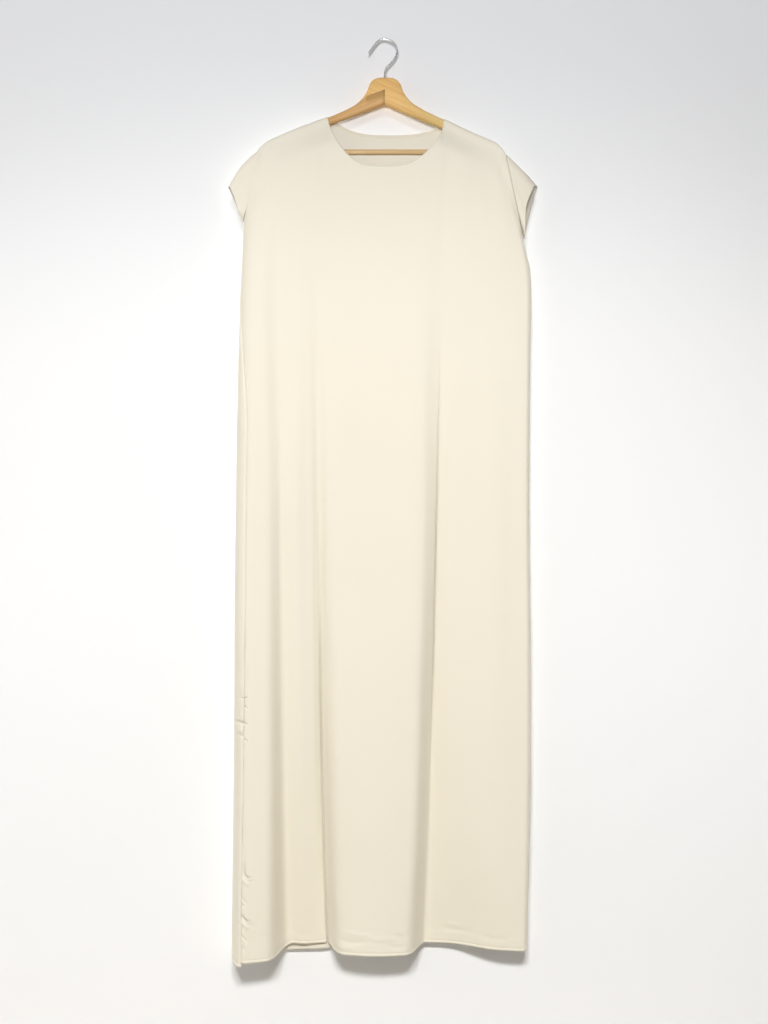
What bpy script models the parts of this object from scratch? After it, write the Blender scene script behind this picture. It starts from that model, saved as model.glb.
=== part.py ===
# Under-abaya dress in ecru crepe on a contoured wooden hanger.
# X runs to the viewer's right, +Z is up, -Y faces the viewer and +Y is the wall side.
# The origin is the underside of the hook's crown, where a nail or rail carries the hanger.
import math
from bisect import bisect_right

import bmesh
import bpy
from mathutils import Vector

MM = 0.001

# Cloth
CLOTH = 0.0015              # wall of every cloth piece
SEAM = 0.0004               # between the cut edges of two pieces at a seam
SEAT = 0.0003               # between pieces that lie on each other
ARM_SEAT = 0.0005           # under the cloth along the crest of an arm, where both turn
DRAPE_RADIUS_Y = 0.0080     # how far the cloth stands off the arm's middle line, front and back
DRAPE_RADIUS_Z = 0.0070     # the height in which it turns over the arm
DRAPE_HOLD = {-1: 0.014, 1: 0.024}     # drop beside the arm before the front (-1) or back (1) moves off
DRAPE_FADE = {-1: 0.040, 1: 0.110}     # further drop over which it falls into its own folds
UNDERARM_SLACK = 0.0007     # extra way between the panels where the armhole ends in the side seam
SPREAD_HEIGHT = 0.140       # height in which the columns of cloth move from the neck's spacing to the skirt's
TURN_JOIN_HEIGHT = 0.060    # height in which the side turns leave the tips of the shoulders
FACING_WIDTH = 0.007
FACING_CLOTH = 0.0010
FACING_INSET = 0.0006       # how far the strip starts below the neck edge
FACING_CLEAR = 0.020        # the strip ends where the neck edge is this close to the arm's top line

# Hanger
ARM_THICKNESS = 0.0120
ARM_CORNER = 0.0056
ARM_REACH = 0.214           # plan distance from the middle to the left arm's tip
ARM_BOW = 0.022             # how far the tips stand forward of the boss
ARM_BOW_POWER = 1.6
BAR_RADIUS = 0.0048
BAR_HALF_LENGTH = 0.1905
BAR_Y = -0.0185
BAR_Z = -0.2025
LAP_GAP = 0.0003
LAP_OVERRUN = 0.002         # the two cuts of a lap run into each other by this much
TIP_EASE = 0.0020           # how much lower the steep ends of the arms lie under the cloth
TIP_EASE_REACH = (0.186, 0.020)        # where that starts, and the width in which it comes
TIP_INSET = 0.011           # from the shoulder's end to the wood's
TIP_ROUND = 0.010           # length of the rounded end
UNDERSIDE_SLOPE = {"left": 0.397, "right": 0.458}
UNDERSIDE_PEAK_Z = -0.1140
UNDERSIDE_PEAK_HALF = 0.002
TIP_BLOCK_REACH = (0.150, 0.035)       # where an arm deepens to hold the bar, and the width in which it does
TIP_BLOCK_DEPTH = 0.0085    # wood below the bar's middle line
WIRE_RADIUS = 0.0018
CUTTER_REACH = 0.30

# Heights that the garment's tables are read at
UNDERARM_Z = {"left": -0.322, "right": -0.340}
ARMHOLE_OPEN = {"left": 0.011, "right": 0.012}     # half of the armhole's spread, front to back
SIDE_Y = -0.012                                    # where the side seams hang, below the armholes
TURN_RADIUS = {"left": 0.010, "right": 0.010}      # width of the turn at each side
LEFT_WRAP = 0.030                                  # width of the left turn, front side, low down
LEFT_SEAM_ANGLE = 70.0                             # how far round that turn the back panel reaches
WRAP_START_Z = -0.340
WRAP_FULL_Z = -0.700
HEM = {"front_left": -1.591, "front": -1.580, "back_left": -1.594, "back_right": -1.575}
HEM_LIFT = (-0.215, 0.045)                         # where the front hem starts to rise, and over what width

# Shoulder line over each arm, from the neck corner outwards: (x, z)
SHOULDER = {
    "left": [(0.0, -0.085), (-0.060, -0.118), (-0.101, -0.1375), (-0.150, -0.1580), (-0.187, -0.1755),
             (-0.2055, -0.1900), (-0.2155, -0.2045), (-0.2215, -0.2190)],
    "right": [(0.0, -0.085), (0.060, -0.119), (0.1035, -0.1415), (0.152, -0.1665), (0.180, -0.1800),
              (0.1945, -0.1910), (0.2030, -0.2040), (0.2090, -0.2175)],
}
NECK_CORNER = {"left": -0.101, "right": 0.1035}
# Front and back neck edges between the corners: (x, z)
FRONT_NECK = [(-0.101, -0.1375), (-0.0955, -0.1560), (-0.0905, -0.1700), (-0.0815, -0.1870),
              (-0.0710, -0.2010), (-0.0560, -0.2155), (-0.0360, -0.2265), (-0.0060, -0.2285),
              (0.0230, -0.2280), (0.0420, -0.2240), (0.0640, -0.2105), (0.0780, -0.1975),
              (0.0915, -0.1800), (0.0990, -0.1640), (0.1035, -0.1415)]
BACK_NECK = [(-0.101, -0.1375), (-0.0920, -0.1400), (-0.0810, -0.1455), (-0.0685, -0.1530),
             (-0.0490, -0.1600), (-0.0175, -0.1640), (0.0230, -0.1645), (0.0530, -0.1630),
             (0.0790, -0.1580), (0.0950, -0.1500), (0.1035, -0.1415)]
# Edges of the body seen from the front: (z, x). Above the underarm they are the armhole seams.
LEFT_EDGE = [(-0.2190, -0.2215), (-0.2440, -0.2285), (-0.2700, -0.2335), (-0.3000, -0.2390),
             (-0.3220, -0.2450), (-0.3710, -0.2475), (-0.4580, -0.2520), (-0.6840, -0.2570),
             (-0.8050, -0.2590), (-1.1530, -0.2615), (-1.4130, -0.2640), (-1.6100, -0.2650)]
RIGHT_EDGE = [(-0.2175, 0.2090), (-0.2330, 0.2130), (-0.2710, 0.2220), (-0.3050, 0.2300),
              (-0.3400, 0.2375), (-0.3820, 0.2460), (-0.4080, 0.2525), (-0.4650, 0.2535),
              (-0.5450, 0.2520), (-0.8050, 0.2505), (-1.1530, 0.2535), (-1.2570, 0.2535),
              (-1.5000, 0.2485), (-1.6100, 0.2460)]

# Fold lines of the front panel. Each row is one line down the cloth, with its x and its y in mm at the
# heights of FOLD_Z. The valleys are the rows named floor.
FOLD_Z = [-0.225, -0.455, -0.805, -1.155, -1.420, -1.600]
FRONT_FOLDS = [
    ("left_ridge", (-211.5, -222, -229, -231, -234, -235), (-29, -34, -40, -49, -57, -64)),
    ("left_shoulder", (-203, -209, -203, -199, -197, -199), (-30, -35, -39, -46, -53, -57)),
    ("valley_a_floor", (-194, -193, -187, -186, -184, -182), (-31, -29, -23, -14, -5, 1)),
    ("panel_left", (-166, -166, -163, -162, -162, -164), (-31, -31, -28, -22, -11, 2)),
    ("panel_right", (-140, -136, -128, -126, -122, -116), (-29, -30, -27, -21, -10, 2)),
    ("valley_b_floor", (-120, -118, -115, -112, -107, -101), (-29, -29, -24, -15, -6, 0)),
    ("centre_left", (-101, -94, -90, -86, -82, -76), (-28, -29, -31, -36, -44, -53)),
    ("centre", (-8, -10, -12, -14, -14, -14), (-27, -29, -35, -44, -54, -62)),
    ("centre_right", (66, 64, 65, 58, 50, 41), (-28, -31, -37, -44, -51, -56)),
    ("valley_c_floor", (103.5, 98, 90, 83, 76, 66), (-29, -28, -22, -12, -4, 3)),
    ("right_start", (126, 124, 116, 110, 106, 104), (-29, -31, -30, -23, -12, 2)),
    ("right_ridge", (180, 184, 190, 194, 198, 200), (-31, -35, -37, -38, -37, -34)),
    ("right_shoulder", (199, 243, 241, 243, 240, 236), (-29, -32, -35, -37, -38, -38)),
]
# Columns of cloth in each span between two fold lines
FRONT_SPANS = [3, 4, 3, 2, 2, 3, 9, 5, 8, 3, 3, 3]
# Where the cloth turns over the arm at a neck corner, its columns start closer together: share of the span
NECK_STEPS = {
    (-1, "centre_left"): [0.0, 0.005, 0.014, 0.030, 0.070, 0.150, 0.300, 0.500, 0.750, 1.0],
    (-1, "centre_right"): [0.0, 0.300, 0.560, 0.780, 0.890, 0.950, 0.980, 0.993, 1.0],
    (1, "wave_3_in"): [0.0, 0.025, 0.070, 0.130, 0.210, 0.400, 0.700, 1.0],
    (1, "wave_2_in"): [0.0, 0.300, 0.600, 0.790, 0.880, 0.945, 0.985, 1.0],
}

# Soft waves of the back panel, named as seen from behind, with the same columns as the front's
BACK_FOLDS = [
    ("left_shoulder", (-211.5, -240, -247, -250, -253, -254), (-9, -4, 3, 6, 8, 9)),
    ("wave_4_out", (-160, -164, -170, -174, -176, -180), (-4, 4, 11, 14, 16, 17)),
    ("wave_3_in", (-101, -100, -104, -108, -112, -116), (3, 7, 10, 11, 11, 11)),
    ("wave_3_out", (-30, -34, -46, -52, -56, -60), (8, 10, 13, 15, 17, 18)),
    ("wave_2_in", (30, 26, 16, 10, 6, 2), (8, 9, 10, 11, 10, 9)),
    ("wave_2_out", (103.5, 90, 76, 68, 62, 58), (4, 9, 13, 16, 18, 19)),
    ("wave_1_in", (136, 132, 130, 128, 127, 124), (0, 6, 9, 10, 10, 9)),
    ("wave_1_out", (165, 176, 182, 184, 184, 182), (-4, 4, 12, 15, 17, 18)),
    ("right_shoulder", (199, 243, 241, 243, 240, 236), (-8, -3, 4, 7, 8, 8)),
]
BACK_SPANS = [4, 3, 7, 3, 7, 2, 2, 3]

# Share of the way from the top edge to the underarm, and from there to the hem, of each row of the cloth
YOKE_ROWS = [0.0, 0.006, 0.022, 0.045, 0.075, 0.125, 0.20, 0.29, 0.40, 0.52, 0.65, 0.79, 0.91, 1.0]
SKIRT_ROWS = [0.004, 0.04, 0.10, 0.18, 0.27, 0.37, 0.48, 0.59, 0.70, 0.80, 0.89, 0.96, 1.0]
TURN_STEPS = [0.0, 0.06, 0.28, 0.52, 0.76]     # share of a side turn, from the seam inwards
ARMHOLE_ROUNDING = 0.16                        # share of the armhole in which its ends close
TURN_ROLL = (0.80, 0.20)                       # share of the armhole where the panel's edge starts to roll in

# Sleeves: the cuff seen from the front, from its top corner down, and its spread front to back
CUFF = {
    "left": {"front": [(-0.2705, -0.2600), (-0.2600, -0.2840), (-0.2520, -0.3120)],
             "back": [(-0.2725, -0.2605), (-0.2615, -0.2850), (-0.2520, -0.3120)], "open": 0.012},
    "right": {"front": [(0.2595, -0.2585), (0.2430, -0.3060), (0.2420, -0.3500)],
              "back": [(0.2655, -0.2600), (0.2520, -0.3060), (0.2420, -0.3500)], "open": 0.013},
}
CUFF_Y = -0.014
SLEEVE_SEAM = 0.0007        # way from the armhole's edge to the sleeve's, where their walls turn a little
SLEEVE_ROWS = 4
SLEEVE_SWELL = 0.003

# Hanger outline: height of the upper and lower line over x, for the right arm. The left one mirrors it.
BOSS_TOP = [(0.0, -0.0660), (0.012, -0.0668), (0.020, -0.0700), (0.0262, -0.0765), (0.0318, -0.0915),
            (0.0410, -0.1050), (0.0520, -0.1150), (0.0730, -0.1265), (0.1010, -0.1395)]
LAP_LINE = [(0.0, -0.0885), (0.0300, -0.1005), (0.0580, -0.1165)]
LAP_CLEAR = (0.085, -0.050)            # corner of the lap's cut above the other arm
# Sections of an arm: plan distance from the middle, and shares of the rounded end
ARM_STATIONS = [0.0, 0.007, 0.013, 0.019, 0.0235, 0.0270, 0.0310, 0.0365, 0.044, 0.052, 0.062, 0.075,
                0.090, 0.108, 0.128, 0.150, 0.165, 0.178, 0.186, 0.190]
TIP_STEPS = (0.0, 0.35, 0.65, 0.85, 0.96, 1.0)

# Hook's middle line in the XZ plane, from the foot in the boss to the tip
HOOK_ROUTE = [(0.0, -0.0810), (0.0, -0.0700), (0.0, -0.0600), (0.0, -0.0535), (0.0018, -0.0495),
              (0.0055, -0.0455), (0.0125, -0.0390), (0.0182, -0.0318), (0.0213, -0.0225),
              (0.0208, -0.0135), (0.0165, -0.0055), (0.0090, 0.0000), (0.0, 0.0018), (-0.0075, 0.0010),
              (-0.0138, -0.0030), (-0.0190, -0.0095), (-0.0240, -0.0175), (-0.0290, -0.0245)]
HOOK_STEPS = 2              # points read from the curve for each point of the route


def reset_scene():
    for old in list(bpy.data.objects):
        bpy.data.objects.remove(old, do_unlink=True)


def new_collection(name):
    made = bpy.data.collections.new(name)
    bpy.context.scene.collection.children.link(made)
    return made


def principled(name, colour, roughness, metallic=0.0):
    made = bpy.data.materials.new(name)
    made.use_nodes = True
    shader = made.node_tree.nodes["Principled BSDF"]
    shader.inputs["Base Color"].default_value = (*colour, 1.0)
    shader.inputs["Roughness"].default_value = roughness
    shader.inputs["Metallic"].default_value = metallic
    return made


def smooth_curve(points, value):
    """Height of a smooth curve through (position, height) points that never overshoots them."""
    xs = [p[0] for p in points]
    ys = [p[1] for p in points]
    if xs[0] > xs[-1]:
        xs.reverse()
        ys.reverse()
    if value <= xs[0]:
        return ys[0]
    if value >= xs[-1]:
        return ys[-1]
    k = bisect_right(xs, value) - 1
    slopes = [(ys[i + 1] - ys[i]) / (xs[i + 1] - xs[i]) for i in range(len(xs) - 1)]

    def tangent(i):
        if i == 0:
            return slopes[0]
        if i == len(xs) - 1:
            return slopes[-1]
        before, after = slopes[i - 1], slopes[i]
        if before * after <= 0:
            return 0.0
        return 2 * before * after / (before + after)

    width = xs[k + 1] - xs[k]
    t = (value - xs[k]) / width
    rise = ys[k] * (1 + 2 * t) * (1 - t) ** 2 + ys[k + 1] * t * t * (3 - 2 * t)
    return rise + width * (tangent(k) * t * (1 - t) ** 2 - tangent(k + 1) * t * t * (1 - t))


def ease(t):
    t = min(1.0, max(0.0, t))
    return t * t * (3 - 2 * t)


def arm_y(x):
    return -ARM_BOW * min(1.0, abs(x) / ARM_REACH) ** ARM_BOW_POWER


def shoulder_z(x):
    side = "left" if x < 0 else "right"
    return smooth_curve(SHOULDER[side], x)


def edge_x(side, z):
    return smooth_curve(LEFT_EDGE if side == "left" else RIGHT_EDGE, z)


def tip_x(side):
    return SHOULDER[side][-1][0]


def tip_z(side):
    return SHOULDER[side][-1][1]


def fold_value(row, part, z):
    values = row[part]
    return MM * smooth_curve(list(zip(FOLD_Z, values)), z)


def fold_y(folds, x, z):
    """Depth of a panel at x and z, read across its fold lines."""
    across = sorted((fold_value(row, 1, z), fold_value(row, 2, z)) for row in folds)
    return smooth_curve(across, x)


def drape(length):
    """Way forward and way down of cloth that has run this length over the arm from its top line."""
    quarter = (DRAPE_RADIUS_Y + DRAPE_RADIUS_Z) * math.pi / 4
    if length >= quarter:
        return DRAPE_RADIUS_Y, DRAPE_RADIUS_Z + length - quarter
    angle = length / quarter * math.pi / 2
    return DRAPE_RADIUS_Y * math.sin(angle), DRAPE_RADIUS_Z * (1 - math.cos(angle))


def drape_length(drop):
    """Length of cloth from the arm's top line down to this drop."""
    quarter = (DRAPE_RADIUS_Y + DRAPE_RADIUS_Z) * math.pi / 4
    if drop >= DRAPE_RADIUS_Z:
        return quarter + drop - DRAPE_RADIUS_Z
    return quarter * math.acos(1 - max(0.0, drop) / DRAPE_RADIUS_Z) / (math.pi / 2)


class Panel:
    """Points of the front (facing -1) or back (facing +1) panel by column and row."""

    def __init__(self, facing, folds, spans, neck):
        self.facing = facing
        self.folds = folds
        self.neck = neck
        self.columns = []
        for step in TURN_STEPS:
            self.columns.append(("left", step))
        for span, count in enumerate(spans):
            for step in range(count):
                self.columns.append((span, step / count))
        self.columns.append((len(spans) - 1, 1.0))
        for step in reversed(TURN_STEPS):
            self.columns.append(("right", step))
        self.rows = len(YOKE_ROWS) + len(SKIRT_ROWS)

    def top_share(self, span, share):
        """Columns beside a neck corner start closer to it than they hang further down."""
        steps = NECK_STEPS.get((self.facing, self.folds[span][0]))
        if steps is None:
            return share
        return steps[round(share * (len(steps) - 1))]

    def fold_x(self, span, share, z):
        first = fold_value(self.folds[span], 1, z)
        last = fold_value(self.folds[span + 1], 1, z)
        return first + (last - first) * share

    def wrap(self, side, z):
        """Share of the left side seam's way round to the front; the right one hangs at the side."""
        if side == "right":
            return 0.0
        return ease((WRAP_START_Z - z) / (WRAP_START_Z - WRAP_FULL_Z))

    def turn_radius(self, side, z):
        return TURN_RADIUS[side] + (LEFT_WRAP - TURN_RADIUS[side]) * self.wrap(side, z)

    def top_x(self, column):
        """Where a column starts on the shoulder or the neck edge."""
        kind, share = column
        if kind in ("left", "right"):
            inward = TURN_RADIUS[kind] * share
            return tip_x(kind) + (inward if kind == "left" else -inward)
        return self.fold_x(kind, self.top_share(kind, share), FOLD_Z[0])

    def top_z(self, x):
        if NECK_CORNER["left"] < x < NECK_CORNER["right"]:
            return smooth_curve(self.neck, x)
        return shoulder_z(x)

    def underarm_z(self, x):
        share = (x - tip_x("left")) / (tip_x("right") - tip_x("left"))
        return UNDERARM_Z["left"] + (UNDERARM_Z["right"] - UNDERARM_Z["left"]) * share

    def hem_z(self, x):
        if self.facing < 0:
            lift = ease((x - HEM_LIFT[0]) / HEM_LIFT[1])
            return HEM["front_left"] + (HEM["front"] - HEM["front_left"]) * lift
        share = (x - tip_x("left")) / (tip_x("right") - tip_x("left"))
        return HEM["back_left"] + (HEM["back_right"] - HEM["back_left"]) * share

    def edge_y(self, side, share, z):
        """Depth of the panel's own edge: the armhole above the underarm, the side seam below it."""
        shoulder_y = arm_y(tip_x(side))
        if share >= 1.0:
            return SIDE_Y + self.facing * UNDERARM_SLACK
        middle = shoulder_y + (SIDE_Y - shoulder_y) * ease(share)
        near = min(share, 1 - share) / ARMHOLE_ROUNDING
        spread = math.sqrt(max(0.0, 1 - (1 - min(1.0, near)) ** 2))
        return middle + self.facing * ARMHOLE_OPEN[side] * spread

    def point(self, column, row):
        kind, share = column
        x_top = self.top_x(column)
        crest = shoulder_z(x_top)
        start = drape_length(crest - self.top_z(x_top))
        low = self.underarm_z(x_top)
        end = drape_length(crest - low)
        if row < len(YOKE_ROWS):
            length = start + (end - start) * YOKE_ROWS[row]
            out, drop = drape(length)
            z = crest - drop
        else:
            length = end
            out, drop = drape(length)
            z = low + (self.hem_z(x_top) - low) * SKIRT_ROWS[row - len(YOKE_ROWS)]
        settle = ease((crest - z - DRAPE_HOLD[self.facing]) / DRAPE_FADE[self.facing])
        spread = SEAM / 2 + out
        if kind in ("left", "right"):
            return self.turn_point(kind, share, row, z, x_top, spread, settle)
        x_low = self.fold_x(kind, share, z)
        x = x_top + (x_low - x_top) * ease((self.top_z(x_top) - z) / SPREAD_HEIGHT)
        y = (arm_y(x_top) + self.facing * spread) * (1 - settle) + fold_y(self.folds, x, z) * settle
        return Vector((x, y, z))

    def turn_point(self, side, share, row, z, x_top, spread, settle):
        """Point on the rounded side of the garment, from its seam (share 0) to the panel's flat part."""
        sign = 1 if side == "left" else -1
        in_yoke = row < len(YOKE_ROWS)
        edge = edge_x(side, z)
        flat_row = self.folds[0] if side == "left" else self.folds[-1]
        flat_x = fold_value(flat_row, 1, z)
        if in_yoke:
            join = ease((tip_z(side) - z) / TURN_JOIN_HEIGHT)
            flat_x = (tip_x(side) + sign * TURN_RADIUS[side]) * (1 - join) + flat_x * join
        flat_y = fold_y(self.folds, flat_x, z)
        flat_y = (arm_y(x_top) + self.facing * spread) * (1 - settle) + flat_y * settle
        if not in_yoke:
            seam_angle = math.radians(LEFT_SEAM_ANGLE) * self.wrap(side, z)
            if self.facing > 0:
                return self.back_turn(side, share, z, edge, flat_x, flat_y, seam_angle)
            reach = math.pi / 2 - seam_angle
            size = math.hypot(self.turn_radius(side, z) * math.sin(seam_angle),
                              (flat_y - SIDE_Y) * math.cos(seam_angle))
            angle = seam_angle + SEAM / 2 / size + (reach - SEAM / 2 / size) * share
            away = abs(flat_x - edge) * (1 - math.cos(angle))
            return Vector((edge + sign * away, SIDE_Y + (flat_y - SIDE_Y) * math.sin(angle), z))
        part = YOKE_ROWS[row]
        edge_y = self.edge_y(side, part, z) + self.facing * SEAM / 2
        rolled = ease((part - TURN_ROLL[0]) / TURN_ROLL[1])
        angle = math.pi / 2 * share
        round_in = 1 - math.cos(angle)
        inward = share + (round_in - share) * rolled
        x = edge + (flat_x - edge) * inward
        rise = ease(share) + (math.sin(angle) - ease(share)) * rolled
        return Vector((x, edge_y + (flat_y - edge_y) * rise, z))

    def back_turn(self, side, share, z, edge, flat_x, flat_y, seam_angle):
        """The back panel rounds the side, and low on the left it reaches on to the front."""
        sign = 1 if side == "left" else -1
        front_row = FRONT_FOLDS[0] if side == "left" else FRONT_FOLDS[-1]
        front_x = fold_value(front_row, 1, z)
        front_y = fold_y(FRONT_FOLDS, front_x, z)
        front_width = abs(front_x - edge)
        size = math.hypot(front_width * math.sin(seam_angle), (front_y - SIDE_Y) * math.cos(seam_angle))
        if seam_angle <= 0.0:
            size = abs(flat_y - SIDE_Y)
        first = seam_angle - SEAM / 2 / size
        angle = first + (-math.pi / 2 - first) * share
        if angle > 0:
            away = front_width * (1 - math.cos(angle))
            y = SIDE_Y + (front_y - SIDE_Y) * math.sin(angle)
        else:
            away = abs(flat_x - edge) * (1 - math.cos(angle))
            y = SIDE_Y + (flat_y - SIDE_Y) * math.sin(-angle)
        return Vector((edge + sign * away, y, z))

    def grid(self):
        return [[self.point(column, row) for row in range(self.rows)] for column in self.columns]


def sheet_object(name, grid, material, thickness, parts, flip=False, closed=False):
    """An open sheet through a grid of points, made a wall by Solidify."""
    across = len(grid)
    down = len(grid[0])
    mesh = bpy.data.meshes.new(name)
    shape = bmesh.new()
    bmesh.ops.create_grid(shape, x_segments=across - 1, y_segments=down - 1, size=1.0)
    shape.verts.ensure_lookup_table()
    order = sorted(shape.verts, key=lambda v: (round(v.co.y * (down - 1)), round(v.co.x * (across - 1))))
    for index, vert in enumerate(order):
        row, column = divmod(index, across)
        vert.co = grid[column][row]
    if closed:
        bmesh.ops.remove_doubles(shape, verts=shape.verts[:], dist=1e-6)
    if flip:
        bmesh.ops.reverse_faces(shape, faces=shape.faces[:])
    for face in shape.faces:
        face.smooth = True
    shape.to_mesh(mesh)
    shape.free()
    made = bpy.data.objects.new(name, mesh)
    mesh.materials.append(material)
    parts.objects.link(made)
    wall = made.modifiers.new("cloth_wall", "SOLIDIFY")
    wall.thickness = thickness
    wall.offset = 0.0
    wall.use_even_offset = False
    return made


def neck_columns(panel):
    """Columns whose top lies on the neck edge, clear of the arm under the corner."""
    chosen = []
    for column in panel.columns:
        x = panel.top_x(column)
        if NECK_CORNER["left"] < x < NECK_CORNER["right"]:
            if shoulder_z(x) - panel.top_z(x) > FACING_CLEAR:
                chosen.append(column)
    return chosen


def facing_grid(panel):
    """The strip turned in at the neck, made from the panel's own points moved to its inner side."""
    depth = CLOTH / 2 + SEAT + FACING_CLOTH / 2
    columns = neck_columns(panel)
    tops = [panel.point(column, 0) for column in columns]
    downs = [(panel.point(column, 4) - top).normalized() for column, top in zip(columns, tops)]
    grid = []
    for k, (top, down) in enumerate(zip(tops, downs)):
        across = (tops[min(k + 1, len(tops) - 1)] - tops[max(k - 1, 0)]).normalized()
        inward = across.cross(down).normalized()
        inward = inward if inward.y * panel.facing < 0 else -inward
        grid.append([top + down * (FACING_INSET + FACING_WIDTH * share) + inward * depth
                     for share in (0.0, 0.5, 1.0)])
    return grid


def sleeve_grid(side, front_grid, back_grid):
    """Loft from the armhole's ring of panel points to the cuff's ring."""
    last = len(YOKE_ROWS) - 1
    edge = 0 if side == "left" else -1
    beside = 1 if side == "left" else -2
    sign = -1 if side == "left" else 1
    ring = []
    for panel_grid, name in ((front_grid, "front"), (back_grid, "back")):
        run = []
        for row in range(last + 1):
            here = panel_grid[edge][row]
            out = (here - panel_grid[beside][row]).normalized()
            rolled = ease((YOKE_ROWS[row] - 0.70) / 0.25)
            out = (out * (1 - rolled) + Vector((sign, 0.0, 0.0)) * rolled).normalized()
            reach = SLEEVE_SEAM + (CLOTH * 0.5 + SEAT) * rolled
            run.append((YOKE_ROWS[row], name, here + out * reach))
        ring.append(run)
    front, back = ring
    top = (front[0][2] + back[0][2]) / 2
    bottom = (front[last][2] + back[last][2]) / 2
    loop = [(0.0, "front", top)]
    loop += front[1:last]
    loop.append((1.0, "front", bottom))
    loop += list(reversed(back[1:last]))
    cuff = CUFF[side]
    grid = []
    for part, name, start in loop:
        line = cuff[name]
        heights = [(0.0, line[0][1]), (0.5, line[1][1]), (1.0, line[2][1])]
        places = [(0.0, line[0][0]), (0.5, line[1][0]), (1.0, line[2][0])]
        near = min(part, 1 - part) / ARMHOLE_ROUNDING
        spread = math.sqrt(max(0.0, 1 - (1 - min(1.0, near)) ** 2))
        y = CUFF_Y + (-1 if name == "front" else 1) * cuff["open"] * spread
        if part in (0.0, 1.0):
            y = CUFF_Y
        end = Vector((smooth_curve(places, part), y, smooth_curve(heights, part)))
        points = []
        for step in range(SLEEVE_ROWS + 1):
            share = step / SLEEVE_ROWS
            place = start.lerp(end, share)
            swell = SLEEVE_SWELL * math.sin(math.pi * share) * (1 - part)
            points.append(place + Vector((sign * swell, 0.0, swell)))
        grid.append(points)
    grid.append(grid[0])
    return grid


def hanger_section(x, thickness):
    """Upper and lower height of the whole hanger body at x, and its rounded ring there."""
    reach = abs(x)
    side = "left" if x < 0 else "right"
    slope_here = (shoulder_z(x + MM) - shoulder_z(x - MM)) / (2 * MM)
    seat = shoulder_z(x) - (CLOTH / 2 + ARM_SEAT) * math.hypot(1.0, slope_here)
    seat -= TIP_EASE * ease((reach - TIP_EASE_REACH[0]) / TIP_EASE_REACH[1])
    upper = smooth_curve(BOSS_TOP, reach)
    if reach > BOSS_TOP[-2][0]:
        upper = min(upper, seat) if reach < BOSS_TOP[-1][0] else seat
    tip = abs(tip_x(side)) - TIP_INSET
    lower = UNDERSIDE_PEAK_Z - UNDERSIDE_SLOPE[side] * max(0.0, reach - UNDERSIDE_PEAK_HALF)
    deep = ease((reach - TIP_BLOCK_REACH[0]) / TIP_BLOCK_REACH[1])
    lower = lower * (1 - deep) + (BAR_Z - TIP_BLOCK_DEPTH) * deep
    closing = max(0.0, (reach - (tip - TIP_ROUND)) / TIP_ROUND)
    round_end = math.sqrt(max(0.0, 1 - min(1.0, closing) ** 2))
    middle = (upper + lower) / 2
    half = (upper - lower) / 2
    half_now = half * (0.45 + 0.55 * round_end)
    top = upper if closing <= 0 else min(upper, middle + half_now)
    return top, middle - half_now, thickness * (0.5 + 0.5 * round_end)


def hanger_body(name, thickness, parts, material):
    """The hanger from tip to tip as a loft of rounded sections that follows the bow."""
    left_tip = abs(tip_x("left")) - TIP_INSET
    right_tip = abs(tip_x("right")) - TIP_INSET
    near_end = TIP_ROUND + 2 * MM
    xs = [-left_tip + TIP_ROUND * (1 - step) for step in reversed(TIP_STEPS)]
    xs += [-x for x in reversed(ARM_STATIONS) if 0 < x < left_tip - near_end]
    xs += [x for x in ARM_STATIONS if x < right_tip - near_end]
    xs += [right_tip - TIP_ROUND * (1 - step) for step in TIP_STEPS]
    shape = bmesh.new()
    rings = []
    for x in xs:
        top, bottom, wide = hanger_section(x, thickness)
        half = wide / 2
        soft = min(ARM_CORNER, half * 0.93, (top - bottom) * 0.4)
        ring = []
        for cy, cz, first in ((half - soft, top - soft, 0), (-half + soft, top - soft, 90),
                              (-half + soft, bottom + soft, 180), (half - soft, bottom + soft, 270)):
            for step in range(4):
                turn = math.radians(first + 30 * step)
                y = arm_y(x) + cy + soft * math.cos(turn)
                ring.append(shape.verts.new((x, y, cz + soft * math.sin(turn))))
        rings.append(ring)
    count = len(rings[0])
    for before, after in zip(rings, rings[1:]):
        for k in range(count):
            shape.faces.new((before[k], before[(k + 1) % count], after[(k + 1) % count], after[k]))
    shape.faces.new(list(reversed(rings[0])))
    shape.faces.new(rings[-1])
    bmesh.ops.recalc_face_normals(shape, faces=shape.faces[:])
    for face in shape.faces:
        face.smooth = True
    mesh = bpy.data.meshes.new(name)
    shape.to_mesh(mesh)
    shape.free()
    made = bpy.data.objects.new(name, mesh)
    mesh.materials.append(material)
    parts.objects.link(made)
    return made


def prism(name, outline, y_low, y_high, cutters):
    """A cutter: an outline in the XZ plane drawn out along Y."""
    shape = bmesh.new()
    face = shape.faces.new([shape.verts.new((x, y_low, z)) for x, z in outline])
    drawn = bmesh.ops.extrude_face_region(shape, geom=[face])
    moved = [item for item in drawn["geom"] if isinstance(item, bmesh.types.BMVert)]
    bmesh.ops.translate(shape, verts=moved, vec=(0.0, y_high - y_low, 0.0))
    bmesh.ops.recalc_face_normals(shape, faces=shape.faces[:])
    mesh = bpy.data.meshes.new(name)
    shape.to_mesh(mesh)
    shape.free()
    made = bpy.data.objects.new(name, mesh)
    made.hide_render = True
    made.display_type = "WIRE"
    cutters.objects.link(made)
    return made


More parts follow.
